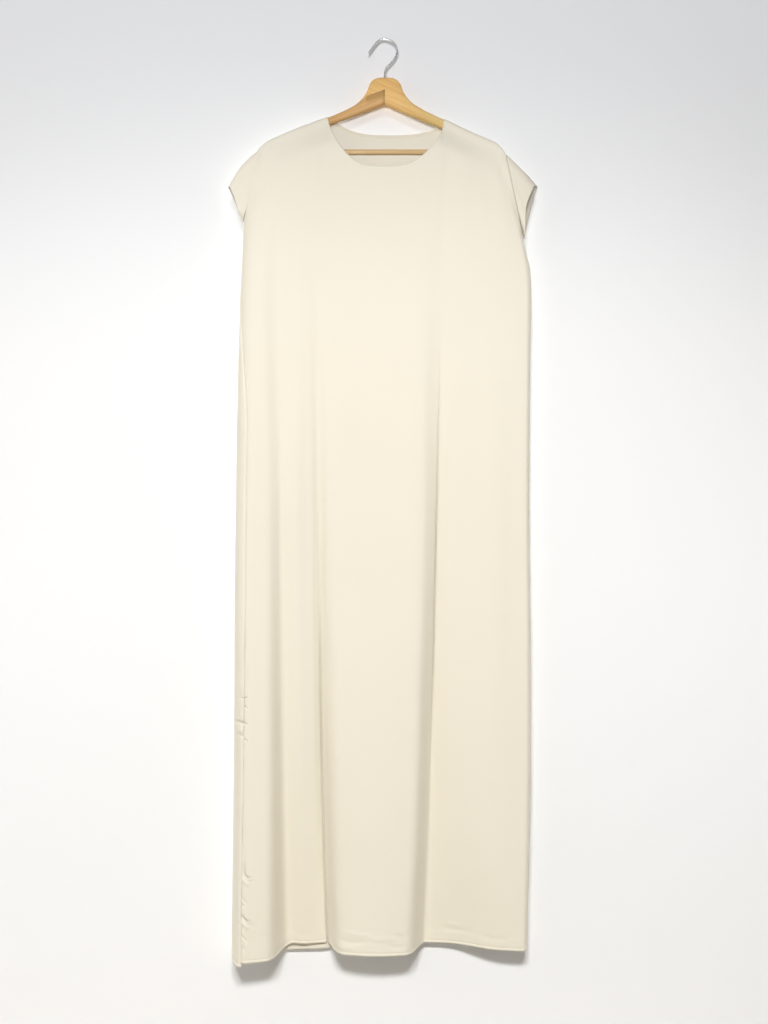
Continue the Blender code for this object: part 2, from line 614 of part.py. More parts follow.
def rod_cutter(name, radius, start, end, cutters):
    shape = bmesh.new()
    axis = Vector(end) - Vector(start)
    bmesh.ops.create_cone(shape, cap_ends=True, segments=20, radius1=radius, radius2=radius,
                          depth=axis.length)
    turn = Vector((0, 0, 1)).rotation_difference(axis.normalized()).to_matrix()
    bmesh.ops.rotate(shape, verts=shape.verts[:], cent=(0, 0, 0), matrix=turn)
    bmesh.ops.translate(shape, verts=shape.verts[:], vec=(Vector(start) + Vector(end)) / 2)
    mesh = bpy.data.meshes.new(name)
    shape.to_mesh(mesh)
    shape.free()
    made = bpy.data.objects.new(name, mesh)
    made.hide_render = True
    made.display_type = "WIRE"
    cutters.objects.link(made)
    return made


def cut(target, cutter):
    made = target.modifiers.new("cut_" + cutter.name, "BOOLEAN")
    made.operation = "DIFFERENCE"
    made.object = cutter


def build_hanger(parts, cutters, wood, wood_bar, steel):
    """Two arms whose bosses lap half and half, the bar between their tips, and the hook."""
    far = CUTTER_REACH
    half_gap = LAP_GAP / 2
    bore = rod_cutter("hook_bore", WIRE_RADIUS + SEAT, (0, 0, HOOK_ROUTE[0][1] - SEAT), (0, 0, -0.05),
                      cutters)
    for side, sign in (("right", 1), ("left", -1)):
        arm = hanger_body("hanger_arm_" + side, ARM_THICKNESS, parts, wood)
        line = [(-sign * x, z) for x, z in LAP_LINE]
        # In its own half of the thickness this arm's boss runs over the other arm, above the lap line
        own_face = [(-sign * half_gap, -far), (-sign * half_gap, LAP_LINE[0][1])]
        own_face += line[1:]
        own_face += [(-sign * far, LAP_LINE[-1][1] - 0.02), (-sign * far, -far)]
        own = prism("lap_own_" + side, own_face, -far if sign > 0 else -LAP_OVERRUN,
                    LAP_OVERRUN if sign > 0 else far, cutters)
        # In the other half its own boss gives way to the other arm's
        other_face = [(sign * x, z - LAP_GAP) for x, z in LAP_LINE]
        other_face[0] = (sign * half_gap, LAP_LINE[0][1] - LAP_GAP)
        other_face += [(sign * LAP_CLEAR[0], LAP_CLEAR[1]), (-sign * far, LAP_CLEAR[1]),
                       (-sign * far, -far), (sign * half_gap, -far)]
        other = prism("lap_other_" + side, other_face, -half_gap if sign > 0 else -far,
                      far if sign > 0 else half_gap, cutters)
        cut(arm, own)
        cut(arm, other)
        cut(arm, bore)
        socket = rod_cutter("bar_socket_" + side, BAR_RADIUS + SEAT, (0, BAR_Y, BAR_Z),
                            (sign * (BAR_HALF_LENGTH + SEAT), BAR_Y, BAR_Z), cutters)
        cut(arm, socket)

    bar = bmesh.new()
    bmesh.ops.create_cone(bar, cap_ends=True, segments=20, radius1=BAR_RADIUS, radius2=BAR_RADIUS,
                          depth=2 * BAR_HALF_LENGTH)
    mesh = bpy.data.meshes.new("trouser_bar")
    bar.to_mesh(mesh)
    bar.free()
    rod = bpy.data.objects.new("trouser_bar", mesh)
    rod.location = (0.0, BAR_Y, BAR_Z)
    rod.rotation_euler = (0.0, math.pi / 2, 0.0)
    mesh.materials.append(wood_bar)
    parts.objects.link(rod)
    for face in mesh.polygons:
        face.use_smooth = len(face.vertices) == 4

    wire = bpy.data.curves.new("hanger_hook", "CURVE")
    wire.dimensions = "3D"
    wire.bevel_depth = WIRE_RADIUS
    wire.bevel_resolution = 2
    wire.use_fill_caps = True
    route = smooth_route(HOOK_ROUTE, HOOK_STEPS)
    spline = wire.splines.new("POLY")
    spline.points.add(len(route) - 1)
    for place, (x, z) in zip(spline.points, route):
        place.co = (x, 0.0, z, 1.0)
    wire.materials.append(steel)
    hook = bpy.data.objects.new("hanger_hook", wire)
    parts.objects.link(hook)


def smooth_route(points, steps):
    """Points on a Catmull-Rom curve through the route."""
    ends = [points[0]] + points + [points[-1]]
    made = []
    for k in range(1, len(ends) - 2):
        a, b, c, d = ends[k - 1:k + 3]
        for step in range(steps):
            t = step / steps
            place = []
            for i in range(2):
                place.append(0.5 * (2 * b[i] + (c[i] - a[i]) * t
                                    + (2 * a[i] - 5 * b[i] + 4 * c[i] - d[i]) * t * t
                                    + (3 * b[i] - a[i] - 3 * c[i] + d[i]) * t ** 3))
            made.append(tuple(place))
    made.append(points[-1])
    return made


def build_dress(parts, crepe, crepe_inside):
    front = Panel(-1, FRONT_FOLDS, FRONT_SPANS, FRONT_NECK)
    back = Panel(1, BACK_FOLDS, BACK_SPANS, BACK_NECK)
    front_grid = front.grid()
    back_grid = back.grid()
    sheet_object("front_panel", front_grid, crepe, CLOTH, parts, flip=True)
    sheet_object("back_panel", back_grid, crepe, CLOTH, parts)
    sheet_object("neck_facing_front", facing_grid(front), crepe_inside, FACING_CLOTH, parts, flip=True)
    sheet_object("neck_facing_back", facing_grid(back), crepe_inside, FACING_CLOTH, parts)
    for side in ("left", "right"):
        sheet_object("sleeve_" + side, sleeve_grid(side, front_grid, back_grid), crepe, CLOTH, parts,
                     flip=(side == "left"), closed=True)


def main():
    reset_scene()
    parts = new_collection("under_abaya_dress_on_hanger")
    cutters = new_collection("cutters")
    crepe = principled("ecru_crepe", (0.86, 0.79, 0.66), 0.75)
    crepe_inside = principled("ecru_crepe_facing", (0.82, 0.74, 0.60), 0.80)
    wood = principled("beech_arms", (0.68, 0.42, 0.19), 0.45)
    wood_bar = principled("beech_bar", (0.74, 0.49, 0.24), 0.45)
    steel = principled("bright_steel", (0.72, 0.72, 0.72), 0.25, 1.0)
    build_hanger(parts, cutters, wood, wood_bar, steel)
    build_dress(parts, crepe, crepe_inside)


main()
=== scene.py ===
import math

import bmesh
import bpy
import numpy as np
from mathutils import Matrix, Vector, noise


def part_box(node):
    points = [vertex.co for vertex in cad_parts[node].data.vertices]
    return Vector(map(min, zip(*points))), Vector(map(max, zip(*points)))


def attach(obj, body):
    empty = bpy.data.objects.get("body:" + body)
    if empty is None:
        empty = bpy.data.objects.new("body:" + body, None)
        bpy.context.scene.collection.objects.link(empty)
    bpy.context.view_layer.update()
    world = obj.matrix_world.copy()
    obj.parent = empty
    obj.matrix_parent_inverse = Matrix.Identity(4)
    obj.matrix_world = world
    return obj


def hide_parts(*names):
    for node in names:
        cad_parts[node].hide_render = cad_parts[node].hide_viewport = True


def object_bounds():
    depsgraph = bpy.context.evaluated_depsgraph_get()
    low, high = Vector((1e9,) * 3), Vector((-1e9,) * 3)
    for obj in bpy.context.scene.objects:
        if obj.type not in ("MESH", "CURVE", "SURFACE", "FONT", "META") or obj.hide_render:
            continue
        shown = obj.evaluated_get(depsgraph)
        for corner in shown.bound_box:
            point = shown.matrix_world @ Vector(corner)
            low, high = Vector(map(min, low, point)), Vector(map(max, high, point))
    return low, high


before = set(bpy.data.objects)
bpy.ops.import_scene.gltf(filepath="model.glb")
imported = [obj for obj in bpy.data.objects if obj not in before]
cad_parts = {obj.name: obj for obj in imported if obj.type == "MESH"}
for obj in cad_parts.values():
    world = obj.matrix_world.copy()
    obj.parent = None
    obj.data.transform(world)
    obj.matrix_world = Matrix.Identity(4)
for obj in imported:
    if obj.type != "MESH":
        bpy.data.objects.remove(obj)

# An under-abaya dress in ecru crepe on a wooden hanger, against a white wall.
# Everything is in metres. +X is the viewer's right, +Z is up and -Y faces the viewer.
cadLow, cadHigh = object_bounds()
mm = 0.001

# Camera and stage

photoView = {
    "across": -0.0017,  # where the camera stands, sideways
    "height": -0.826,
    "distance": 2.0,
    "pixel": 0.00175,   # real size of a pixel at the dress
    "tall": 1024,       # pixels in the picture's height
    "sensor": 36.0,
}
stage = {
    "floorDrop": 0.19,     # floor below the hem
    "wallGap": 0.003,      # wall behind the back of the dress
    "size": 9.0,
    "wallColour": (0.878, 0.89, 0.908),
    "floorColour": (0.57, 0.535, 0.475),
    "paintDepth": 0.0002,  # of the roller's marks
}


def linkNew(name, data):
    made = bpy.data.objects.new(name, data)
    bpy.context.scene.collection.objects.link(made)
    return made


def addCamera():
    data = bpy.data.cameras.new("photo_camera")
    data.sensor_width = photoView["sensor"]
    data.lens = photoView["sensor"] * photoView["distance"] / (photoView["pixel"] * photoView["tall"])
    camera = linkNew("photo_camera", data)
    camera.location = (photoView["across"], -photoView["distance"], photoView["height"])
    camera.rotation_euler = (math.pi / 2, 0, 0)
    bpy.context.scene.camera = camera


def meshFrom(bm, name):
    mesh = bpy.data.meshes.new(name)
    bm.to_mesh(mesh)
    bm.free()
    return mesh


print("stage 1: camera")
addCamera()

# Curves that the forms are read from


def ease(t):
    t = np.clip(t, 0.0, 1.0)
    return t * t * (3 - 2 * t)


def tangents(xs, ys):
    slopes = np.diff(ys, axis=0) / np.diff(xs, axis=0)
    before, after = slopes[:-1], slopes[1:]
    made = np.zeros_like(ys)
    made[0], made[-1] = slopes[0], slopes[-1]
    total = np.where(before * after > 0, before + after, 1.0)
    made[1:-1] = np.where(before * after > 0, 2 * before * after / total, 0.0)
    return made


def hermite(x0, x1, y0, y1, m0, m1, value):
    width = x1 - x0
    t = (value - x0) / width
    rise = y0 * (1 + 2 * t) * (1 - t) ** 2 + y1 * t * t * (3 - 2 * t)
    return rise + width * (m0 * t * (1 - t) ** 2 - m1 * t * t * (1 - t))


def smoothCurve(points, value):
    # a smooth curve through (position, height) points that never overshoots them
    xs, ys = np.array(sorted(points), float).T
    value = np.clip(np.asarray(value, float), xs[0], xs[-1])
    k = np.clip(np.searchsorted(xs, value, side="right") - 1, 0, len(xs) - 2)
    m = tangents(xs, ys)
    return hermite(xs[k], xs[k + 1], ys[k], ys[k + 1], m[k], m[k + 1], value)


def curveAcross(xs, ys, value):
    # the same, where every value has its own column of points
    value = np.clip(value, xs[0], xs[-1])
    k = np.clip((xs <= value).sum(axis=0) - 1, 0, len(xs) - 2)[None]
    m = tangents(xs, ys)

    def at(table, step):
        return np.take_along_axis(table, k + step, axis=0)[0]

    return hermite(at(xs, 0), at(xs, 1), at(ys, 0), at(ys, 1), at(m, 0), at(m, 1), value)


def dent(away, width):
    # 1 on a line, falling away softly on both sides of it
    return np.exp(-(away / width) ** 2)


def unit(way):
    return way / np.maximum(np.linalg.norm(way, axis=-1, keepdims=True), 1e-12)


def runLength(grid, axis):
    # way along the cloth from its first column (0) or its top row (1)
    first = np.take(grid, [0], axis=axis)
    return np.cumsum(np.linalg.norm(np.diff(grid, axis=axis, prepend=first), axis=-1), axis=axis)


# Form of the dress. These lines follow its solids, and here and there lie a few mm off them where the
# photo showed better where a fold or an edge runs.

hangerForm = {"bow": 0.022, "bowPower": 1.6, "reach": 0.214}     # how far its tips stand forward
dress = {
    "overArm": (0.008, 0.007),      # how far the cloth stands off an arm, forward and down
    "hold": {-1: 0.014, 1: 0.024},  # drop beside an arm before the front or back moves off
    "fade": {-1: 0.046, 1: 0.11},   # further drop in which it settles into its folds
    "spreadHeight": 0.14,           # drop in which the columns spread out below the neck
    "turnJoin": 0.06,               # drop in which the sides leave the shoulder tips
    "sideY": -0.012,                # where the side seams hang
    "turnRadius": 0.01,
    "wrapAngle": math.radians(70),  # how far round to the front the left side seam hangs
    "wrapTop": -0.34,               # where it starts to turn, and where it has turned
    "wrapFull": -0.7,
    "underarm": {"left": -0.322, "right": -0.34},
    "armholeHalf": {"left": 0.011, "right": 0.012},
    "armholeRound": 0.16,           # share of the armhole in which its ends close
    "roll": (0.8, 0.2),             # share where a panel's edge starts to roll in, and over which
    "hem": {"frontLeft": -1.591, "front": -1.58, "backLeft": -1.599, "backRight": -1.575},
    "hemLift": (-0.215, 0.045),     # where the front hem starts to rise, and over what width
    "gap": 0.0001,                  # between the panels at their seams
    "shell": 0.0007,
}
shoulderLine = {
    "left": [(0, -0.085), (-0.06, -0.118), (-0.101, -0.1375), (-0.15, -0.158), (-0.187, -0.1755),
             (-0.2055, -0.186), (-0.2155, -0.1955), (-0.2215, -0.204)],
    "right": [(0, -0.085), (0.06, -0.119), (0.1035, -0.1415), (0.152, -0.1665), (0.18, -0.18),
              (0.1945, -0.1882), (0.203, -0.1985), (0.209, -0.2085)],
}
neckCorner = (-0.101, 0.1035)
frontNeck = [(-0.101, -0.1375), (-0.0955, -0.156), (-0.0905, -0.17), (-0.0815, -0.187), (-0.071, -0.201),
             (-0.056, -0.2155), (-0.036, -0.2265), (-0.006, -0.2285), (0.023, -0.228), (0.042, -0.224),
             (0.064, -0.2105), (0.078, -0.1975), (0.0915, -0.18), (0.099, -0.164), (0.1035, -0.1415)]
backNeck = [(-0.101, -0.1375), (-0.092, -0.14), (-0.081, -0.1455), (-0.0685, -0.153), (-0.049, -0.16),
            (-0.0175, -0.164), (0.023, -0.1645), (0.053, -0.163), (0.079, -0.158), (0.095, -0.15),
            (0.1035, -0.1415)]
sideEdge = {
    "left": [(-0.219, -0.2215), (-0.244, -0.2285), (-0.27, -0.2335), (-0.3, -0.239), (-0.322, -0.245),
             (-0.371, -0.2475), (-0.458, -0.252), (-0.684, -0.257), (-0.805, -0.259), (-1.153, -0.2615),
             (-1.413, -0.264), (-1.61, -0.265)],
    "right": [(-0.2175, 0.209), (-0.233, 0.213), (-0.271, 0.222), (-0.305, 0.23), (-0.34, 0.2375),
              (-0.382, 0.246), (-0.408, 0.2525), (-0.465, 0.2535), (-0.545, 0.252), (-0.805, 0.2505),
              (-1.153, 0.2535), (-1.257, 0.2535), (-1.5, 0.2485), (-1.61, 0.246)],
}
# Fold lines down each panel: x and y in mm at these heights
foldHeights = [-0.225, -0.455, -0.805, -1.155, -1.42, -1.6]
frontFolds = [
    ("leftRidge", (-211.5, -222, -229, -231, -234, -235), (-29, -34, -40, -49, -57, -64)),
    ("leftShoulder", (-203, -209, -198, -195, -192, -192), (-30, -35, -39, -46, -53, -57)),
    ("valleyA", (-194, -190, -181, -179, -176, -174), (-31, -30, -27, -19, -8, 1)),
    ("panelLeft", (-166, -164, -158, -156, -155, -157), (-31, -31, -28, -22, -11, 2)),
    ("panelRight", (-140, -136, -128, -126, -122, -116), (-29, -30, -27, -21, -10, 2)),
    ("valleyB", (-120, -118, -115, -112, -107, -101), (-29, -29, -24, -15, -6, 0)),
    ("centreLeft", (-101, -94, -90, -86, -82, -76), (-28, -29, -31, -36, -44, -53)),
    ("centre", (-8, -10, -12, -14, -14, -14), (-27, -29, -35, -44, -54, -62)),
    ("centreRight", (66, 64, 65, 58, 50, 41), (-28, -31, -37, -44, -51, -56)),
    ("valleyC", (103.5, 98, 90, 83, 76, 66), (-29, -28, -22, -12, -4, 3)),
    ("rightStart", (126, 124, 116, 110, 106, 104), (-29, -31, -30, -23, -12, 2)),
    ("rightRidge", (180, 184, 190, 194, 198, 200), (-31, -35, -37, -38, -37, -34)),
    ("rightShoulder", (199, 243, 241, 243, 240, 236), (-29, -32, -35, -37, -38, -38)),
]
backFolds = [
    ("leftShoulder", (-211.5, -240, -247, -250, -253, -254), (-9, -4, 3, 6, 8, 9)),
    ("wave4Out", (-160, -164, -170, -174, -176, -180), (-4, 4, 11, 14, 14, 10)),
    ("wave3In", (-101, -100, -104, -108, -112, -116), (3, 7, 10, 11, 10, 8)),
    ("wave3Out", (-30, -34, -46, -52, -56, -60), (8, 10, 13, 15, 17, 18)),
    ("wave2In", (30, 26, 16, 10, 6, 2), (8, 9, 10, 11, 10, 9)),
    ("wave2Out", (103.5, 90, 76, 68, 62, 58), (4, 9, 13, 16, 18, 19)),
    ("wave1In", (136, 132, 130, 128, 127, 124), (0, 6, 9, 10, 10, 9)),
    ("wave1Out", (165, 176, 182, 184, 184, 182), (-4, 4, 12, 15, 17, 18)),
    ("rightShoulder", (199, 243, 241, 243, 240, 236), (-8, -3, 4, 7, 8, 8)),
]
crispFold = {  # the valley that stays sharp
    "line": [(-1.6, -0.099), (-1.43, -0.107), (-1.18, -0.115), (-0.8, -0.118), (-0.4, -0.12)],
    "width": 0.014,
    "share": 0.85,
}
softFolds = [(0, 0.13), (0.0045, 0.22), (0.009, 0.15)]     # (distance, weight) that rounds a ridge
softEdge = 0.012                                # width at a panel's sides in which that rounding comes
frontSpans = [8, 8, 8, 12, 6, 11, 14, 13, 10, 8, 13, 10]      # columns of cloth between the folds
backSpans = [14, 13, 17, 16, 17, 12, 12, 13]
# Beside a neck corner the threads lie closer at the top: share of the span where each starts
neckSteps = {
    (-1, "centreLeft"): [0, 0.005, 0.014, 0.03, 0.07, 0.15, 0.3, 0.5, 0.75, 1],
    (-1, "centreRight"): [0, 0.3, 0.56, 0.78, 0.89, 0.95, 0.98, 0.993, 1],
    (1, "wave3In"): [0, 0.025, 0.07, 0.13, 0.21, 0.4, 0.7, 1],
    (1, "wave2In"): [0, 0.3, 0.6, 0.79, 0.88, 0.945, 0.985, 1],
}
cuffForm = {  # share of the armhole, x and z down each cuff's edge, and half of its spread
    "left": {
        "front": [(0, -0.2705, -0.26), (0.5, -0.26, -0.284), (1, -0.252, -0.312)],
        "back": [(0, -0.2725, -0.2605), (0.5, -0.2615, -0.285), (1, -0.252, -0.312)],
        "half": 0.012,
    },
    "right": {
        "front": [(0, 0.2595, -0.2585), (0.5, 0.243, -0.306), (1, 0.242, -0.35)],
        "back": [(0, 0.2655, -0.26), (0.5, 0.252, -0.306), (1, 0.242, -0.35)],
        "half": 0.013,
    },
}
cuffY = -0.014

# Folds pinched so close that hardly any light gets in: depths in mm down their lines
pinches = {
    "valleyB": [(-0.7, 0), (-0.95, 1.5), (-1.18, 4.5), (-1.35, 4), (-1.48, 4), (-1.62, 4.5)],
    "valleyC": [(-0.52, 0), (-0.75, 3), (-0.9, 4.5), (-1.05, 4.5), (-1.2, 2), (-1.38, 0)],
}
pinchProfile = [(0, 1), (0.00045, 1), (0.00095, 0.72), (0.0015, 0.16), (0.0024, 0), (1, 0)]
pinchColumns = (0.00045, 0.00095, 0.0015, 0.0024)

# How finely the cloth is modelled, and its turned edges
yokeRows = [0, 0.003, 0.006, 0.011, 0.016, 0.022, 0.029, 0.037, 0.045, 0.055, 0.065, 0.077, 0.09, 0.107,
            0.125, 0.15, 0.175, 0.2, 0.23, 0.26, 0.29, 0.325, 0.36, 0.4, 0.44, 0.48, 0.52, 0.56, 0.605,
            0.65, 0.695, 0.74, 0.79, 0.83, 0.87, 0.91, 0.94, 0.97, 1]
hemRows = [0.03, 0.026, 0.0235, 0.0215, 0.019, 0.016, 0.013, 0.0105, 0.0085, 0.007, 0.0058, 0.005, 0.0044,
           0.0036, 0.0026, 0.0016, 0.0007, 0]     # heights above the hem's edge
# height above the hem's edge and way inwards of the rows that turn up inside
hemTurn = [(0.0004, 0.0007), (0.0018, 0.0013), (0.009, 0.0015), (0.016, 0.0015), (0.0225, 0.0014)]
turnSteps = [0, 0.02, 0.05, 0.09, 0.14, 0.19, 0.24, 0.3, 0.36, 0.42, 0.5, 0.58, 0.68, 0.79, 0.9]
detail = {
    "skirt": (-0.331, -1.583),            # heights of an average column of the skirt
    "skirtEnds": 0.004,                   # way from them to the first and last even row
    "rowStep": 0.02,                      # from row to row, and in the zones below
    "fineStep": 0.0013,
    "fineZones": [(-1.235, -1.135), (-1.55, -1.425)],     # heights of the puckered stretches
    "allowance": [0.01, 0.0055, 0.0015],  # depths of the side seam's turned-in edge
    "allowanceGap": 0.0003,
}


def armY(x):
    share = np.minimum(1.0, np.abs(x) / hangerForm["reach"])
    return -hangerForm["bow"] * share ** hangerForm["bowPower"]


def shoulderZ(x):
    left, right = (smoothCurve(shoulderLine[side], x) for side in ("left", "right"))
    return np.where(np.asarray(x) < 0, left, right)


def tip(side):
    return shoulderLine[side][-1]


def openShare(part):
    # how far open the armhole is at this share of its height
    near = np.minimum(1.0, np.minimum(part, 1 - part) / dress["armholeRound"])
    return np.sqrt(np.maximum(0.0, 1 - (1 - near) ** 2))


def foldPlace(row, z, axis=1):
    # x (1) or y (2) of a fold line at these heights
    return mm * smoothCurve(list(zip(foldHeights, row[axis])), z)


def foldDepth(folds, x, z):
    xs, ys = (np.array([foldPlace(row, z, axis) for row in folds]) for axis in (1, 2))
    total = np.zeros_like(z)
    crisp = dent(x - smoothCurve(crispFold["line"], z), crispFold["width"])
    crisp *= crispFold["share"] * (folds is frontFolds)
    for away, weight in softFolds:
        reach = (1 - crisp) * away * np.minimum(1.0, np.minimum(x - xs[0], xs[-1] - x) / softEdge)
        total += weight * (curveAcross(xs, ys, x - reach) + curveAcross(xs, ys, x + reach))
    return total


def overArm(length):
    # way out and way down of cloth that has run this length over an arm
    out, down = dress["overArm"]
    quarter = (out + down) * math.pi / 4
    angle = np.minimum(length / quarter, 1.0) * math.pi / 2
    past = np.maximum(length - quarter, 0.0)
    return out * np.sin(angle), down * (1 - np.cos(angle)) + past


def lengthOver(drop):
    out, down = dress["overArm"]
    quarter = (out + down) * math.pi / 4
    near = quarter * np.arccos(1 - np.clip(drop, 0.0, down) / down) / (math.pi / 2)
    return np.where(drop >= down, quarter + drop - down, near)


class Panel:
    # the front (facing -1) or the back (facing 1) of the dress as columns of points from top to hem

    def __init__(self, facing, folds, spans, neck):
        self.facing, self.folds, self.neck = facing, folds, neck
        self.columns = [("left", step) for step in turnSteps]
        for span, count in enumerate(spans):
            self.columns += [(span, share) for share in self.spanShares(span, count)]
        self.columns += [(len(spans) - 1, 1.0)]
        self.columns += [("right", step) for step in reversed(turnSteps)]
        self.yoke = np.array(yokeRows)
        self.skirt = self.skirtRows()

    def spanShares(self, span, count):
        # even columns, and some close together beside a pinched fold
        first, last = self.folds[span], self.folds[span + 1]
        width = (last[1][3] - first[1][3]) * mm
        near = [away / width for away in pinchColumns]
        low = near[-1] if first[0] in pinches else 0.0
        high = 1 - near[-1] if last[0] in pinches else 1.0
        shares = [low + (high - low) * step / count for step in range(count)]
        if low:
            shares = [0.0] + near[:-1] + shares
        if high < 1:
            shares += [1 - share for share in reversed(near)]
        return shares

    def skirtRows(self):
        # heights down an average column, closer where the seam puckers and at the hem
        top, bottom = detail["skirt"]
        heights = []
        z = top - detail["skirtEnds"]
        while z > bottom + hemRows[0] + detail["skirtEnds"]:
            heights.append(z)
            fine = any(low < z < high for low, high in detail["fineZones"])
            z -= detail["fineStep"] if fine else detail["rowStep"]
        heights += [bottom + rise for rise in hemRows]
        return (top - np.array(heights)) / (top - bottom)

    def topShare(self, span, share):
        steps = neckSteps.get((self.facing, self.folds[span][0]))
        if steps is None:
            return share
        return float(smoothCurve(list(enumerate(steps)), share * (len(steps) - 1)))

    def topX(self, column):
        kind, share = column
        if kind in ("left", "right"):
            inward = dress["turnRadius"] * share
            return tip(kind)[0] + (inward if kind == "left" else -inward)
        ends = [float(foldPlace(self.folds[kind + k], foldHeights[0])) for k in (0, 1)]
        return ends[0] + (ends[1] - ends[0]) * self.topShare(kind, share)

    def topZ(self, x):
        if neckCorner[0] < x < neckCorner[1]:
            return float(smoothCurve(self.neck, x))
        return float(shoulderZ(x))

    def acrossShare(self, x):
        return (x - tip("left")[0]) / (tip("right")[0] - tip("left")[0])

    def underarm(self, x):
        low = dress["underarm"]
        return low["left"] + (low["right"] - low["left"]) * self.acrossShare(x)

    def hem(self, x):
        hem = dress["hem"]
        if self.facing < 0:
            start, width = dress["hemLift"]
            return hem["frontLeft"] + (hem["front"] - hem["frontLeft"]) * float(ease((x - start) / width))
        return hem["backLeft"] + (hem["backRight"] - hem["backLeft"]) * self.acrossShare(x)

    def wrap(self, side, z):
        if side == "right":
            return np.zeros_like(z)
        return ease((dress["wrapTop"] - z) / (dress["wrapTop"] - dress["wrapFull"]))

    def points(self, column):
        kind, share = column
        xTop = self.topX(column)
        crest, low = float(shoulderZ(xTop)), self.underarm(xTop)
        start, end = (float(lengthOver(crest - z)) for z in (self.topZ(xTop), low))
        outYoke, dropYoke = overArm(start + (end - start) * self.yoke)
        zSkirt = low + (self.hem(xTop) - low) * self.skirt
        z = np.concatenate([crest - dropYoke, zSkirt])
        out = np.concatenate([outYoke, np.full(len(zSkirt), float(overArm(end)[0]))])
        settle = ease((crest - z - dress["hold"][self.facing]) / dress["fade"][self.facing])
        offArm = armY(xTop) + self.facing * (dress["gap"] / 2 + out)
        if kind in ("left", "right"):
            return self.sidePoints(kind, share, z, offArm, settle)
        first, last = foldPlace(self.folds[kind], z), foldPlace(self.folds[kind + 1], z)
        xLow = first + (last - first) * share
        x = xTop + (xLow - xTop) * ease((self.topZ(xTop) - z) / dress["spreadHeight"])
        y = offArm * (1 - settle) + foldDepth(self.folds, x, z) * settle
        return np.stack([x, y, z], axis=-1)

    def sidePoints(self, side, share, z, offArm, settle):
        # round the side of the dress, from its seam (share 0) to where the flat of the panel starts
        sign = 1 if side == "left" else -1
        rows = len(self.yoke)
        inYoke = np.arange(len(z)) < rows
        edge = smoothCurve(sideEdge[side], z)
        flatX = foldPlace(self.folds[0 if side == "left" else -1], z)
        join = np.where(inYoke, ease((tip(side)[1] - z) / dress["turnJoin"]), 1.0)
        flatX = (tip(side)[0] + sign * dress["turnRadius"]) * (1 - join) + flatX * join
        flatY = offArm * (1 - settle) + foldDepth(self.folds, flatX, z) * settle
        # the armhole edge
        part = np.concatenate([self.yoke, np.ones(len(z) - rows)])
        shoulderY = float(armY(tip(side)[0]))
        middle = shoulderY + (dress["sideY"] - shoulderY) * ease(part)
        half = dress["armholeHalf"][side] * openShare(part)
        edgeY = middle + self.facing * (half + dress["gap"] / 2)
        rolled = ease((part - dress["roll"][0]) / dress["roll"][1])
        angle = math.pi / 2 * share
        inward = share + (1 - math.cos(angle) - share) * rolled
        rise = ease(share) + (math.sin(angle) - ease(share)) * rolled
        yokeX = edge + (flatX - edge) * inward
        yokeY = edgeY + (flatY - edgeY) * rise
        # the side below the armhole: what hangs ahead of it follows the front's last fold
        sideY = dress["sideY"]
        seamAngle = dress["wrapAngle"] * self.wrap(side, z)
        angle = seamAngle - (self.facing * math.pi / 2 + seamAngle) * share
        frontX = foldPlace(frontFolds[0 if side == "left" else -1], z)
        ahead = angle > 0
        width = np.where(ahead, np.abs(frontX - edge), np.abs(flatX - edge))
        depth = np.where(ahead, foldDepth(frontFolds, frontX, z) - sideY, sideY - flatY)
        skirtX = edge + sign * width * (1 - np.cos(angle))
        skirtY = sideY + depth * np.sin(angle)
        return np.stack([np.where(inYoke, yokeX, skirtX), np.where(inYoke, yokeY, skirtY), z], axis=-1)

    def grid(self):
        return np.array([self.points(column) for column in self.columns])


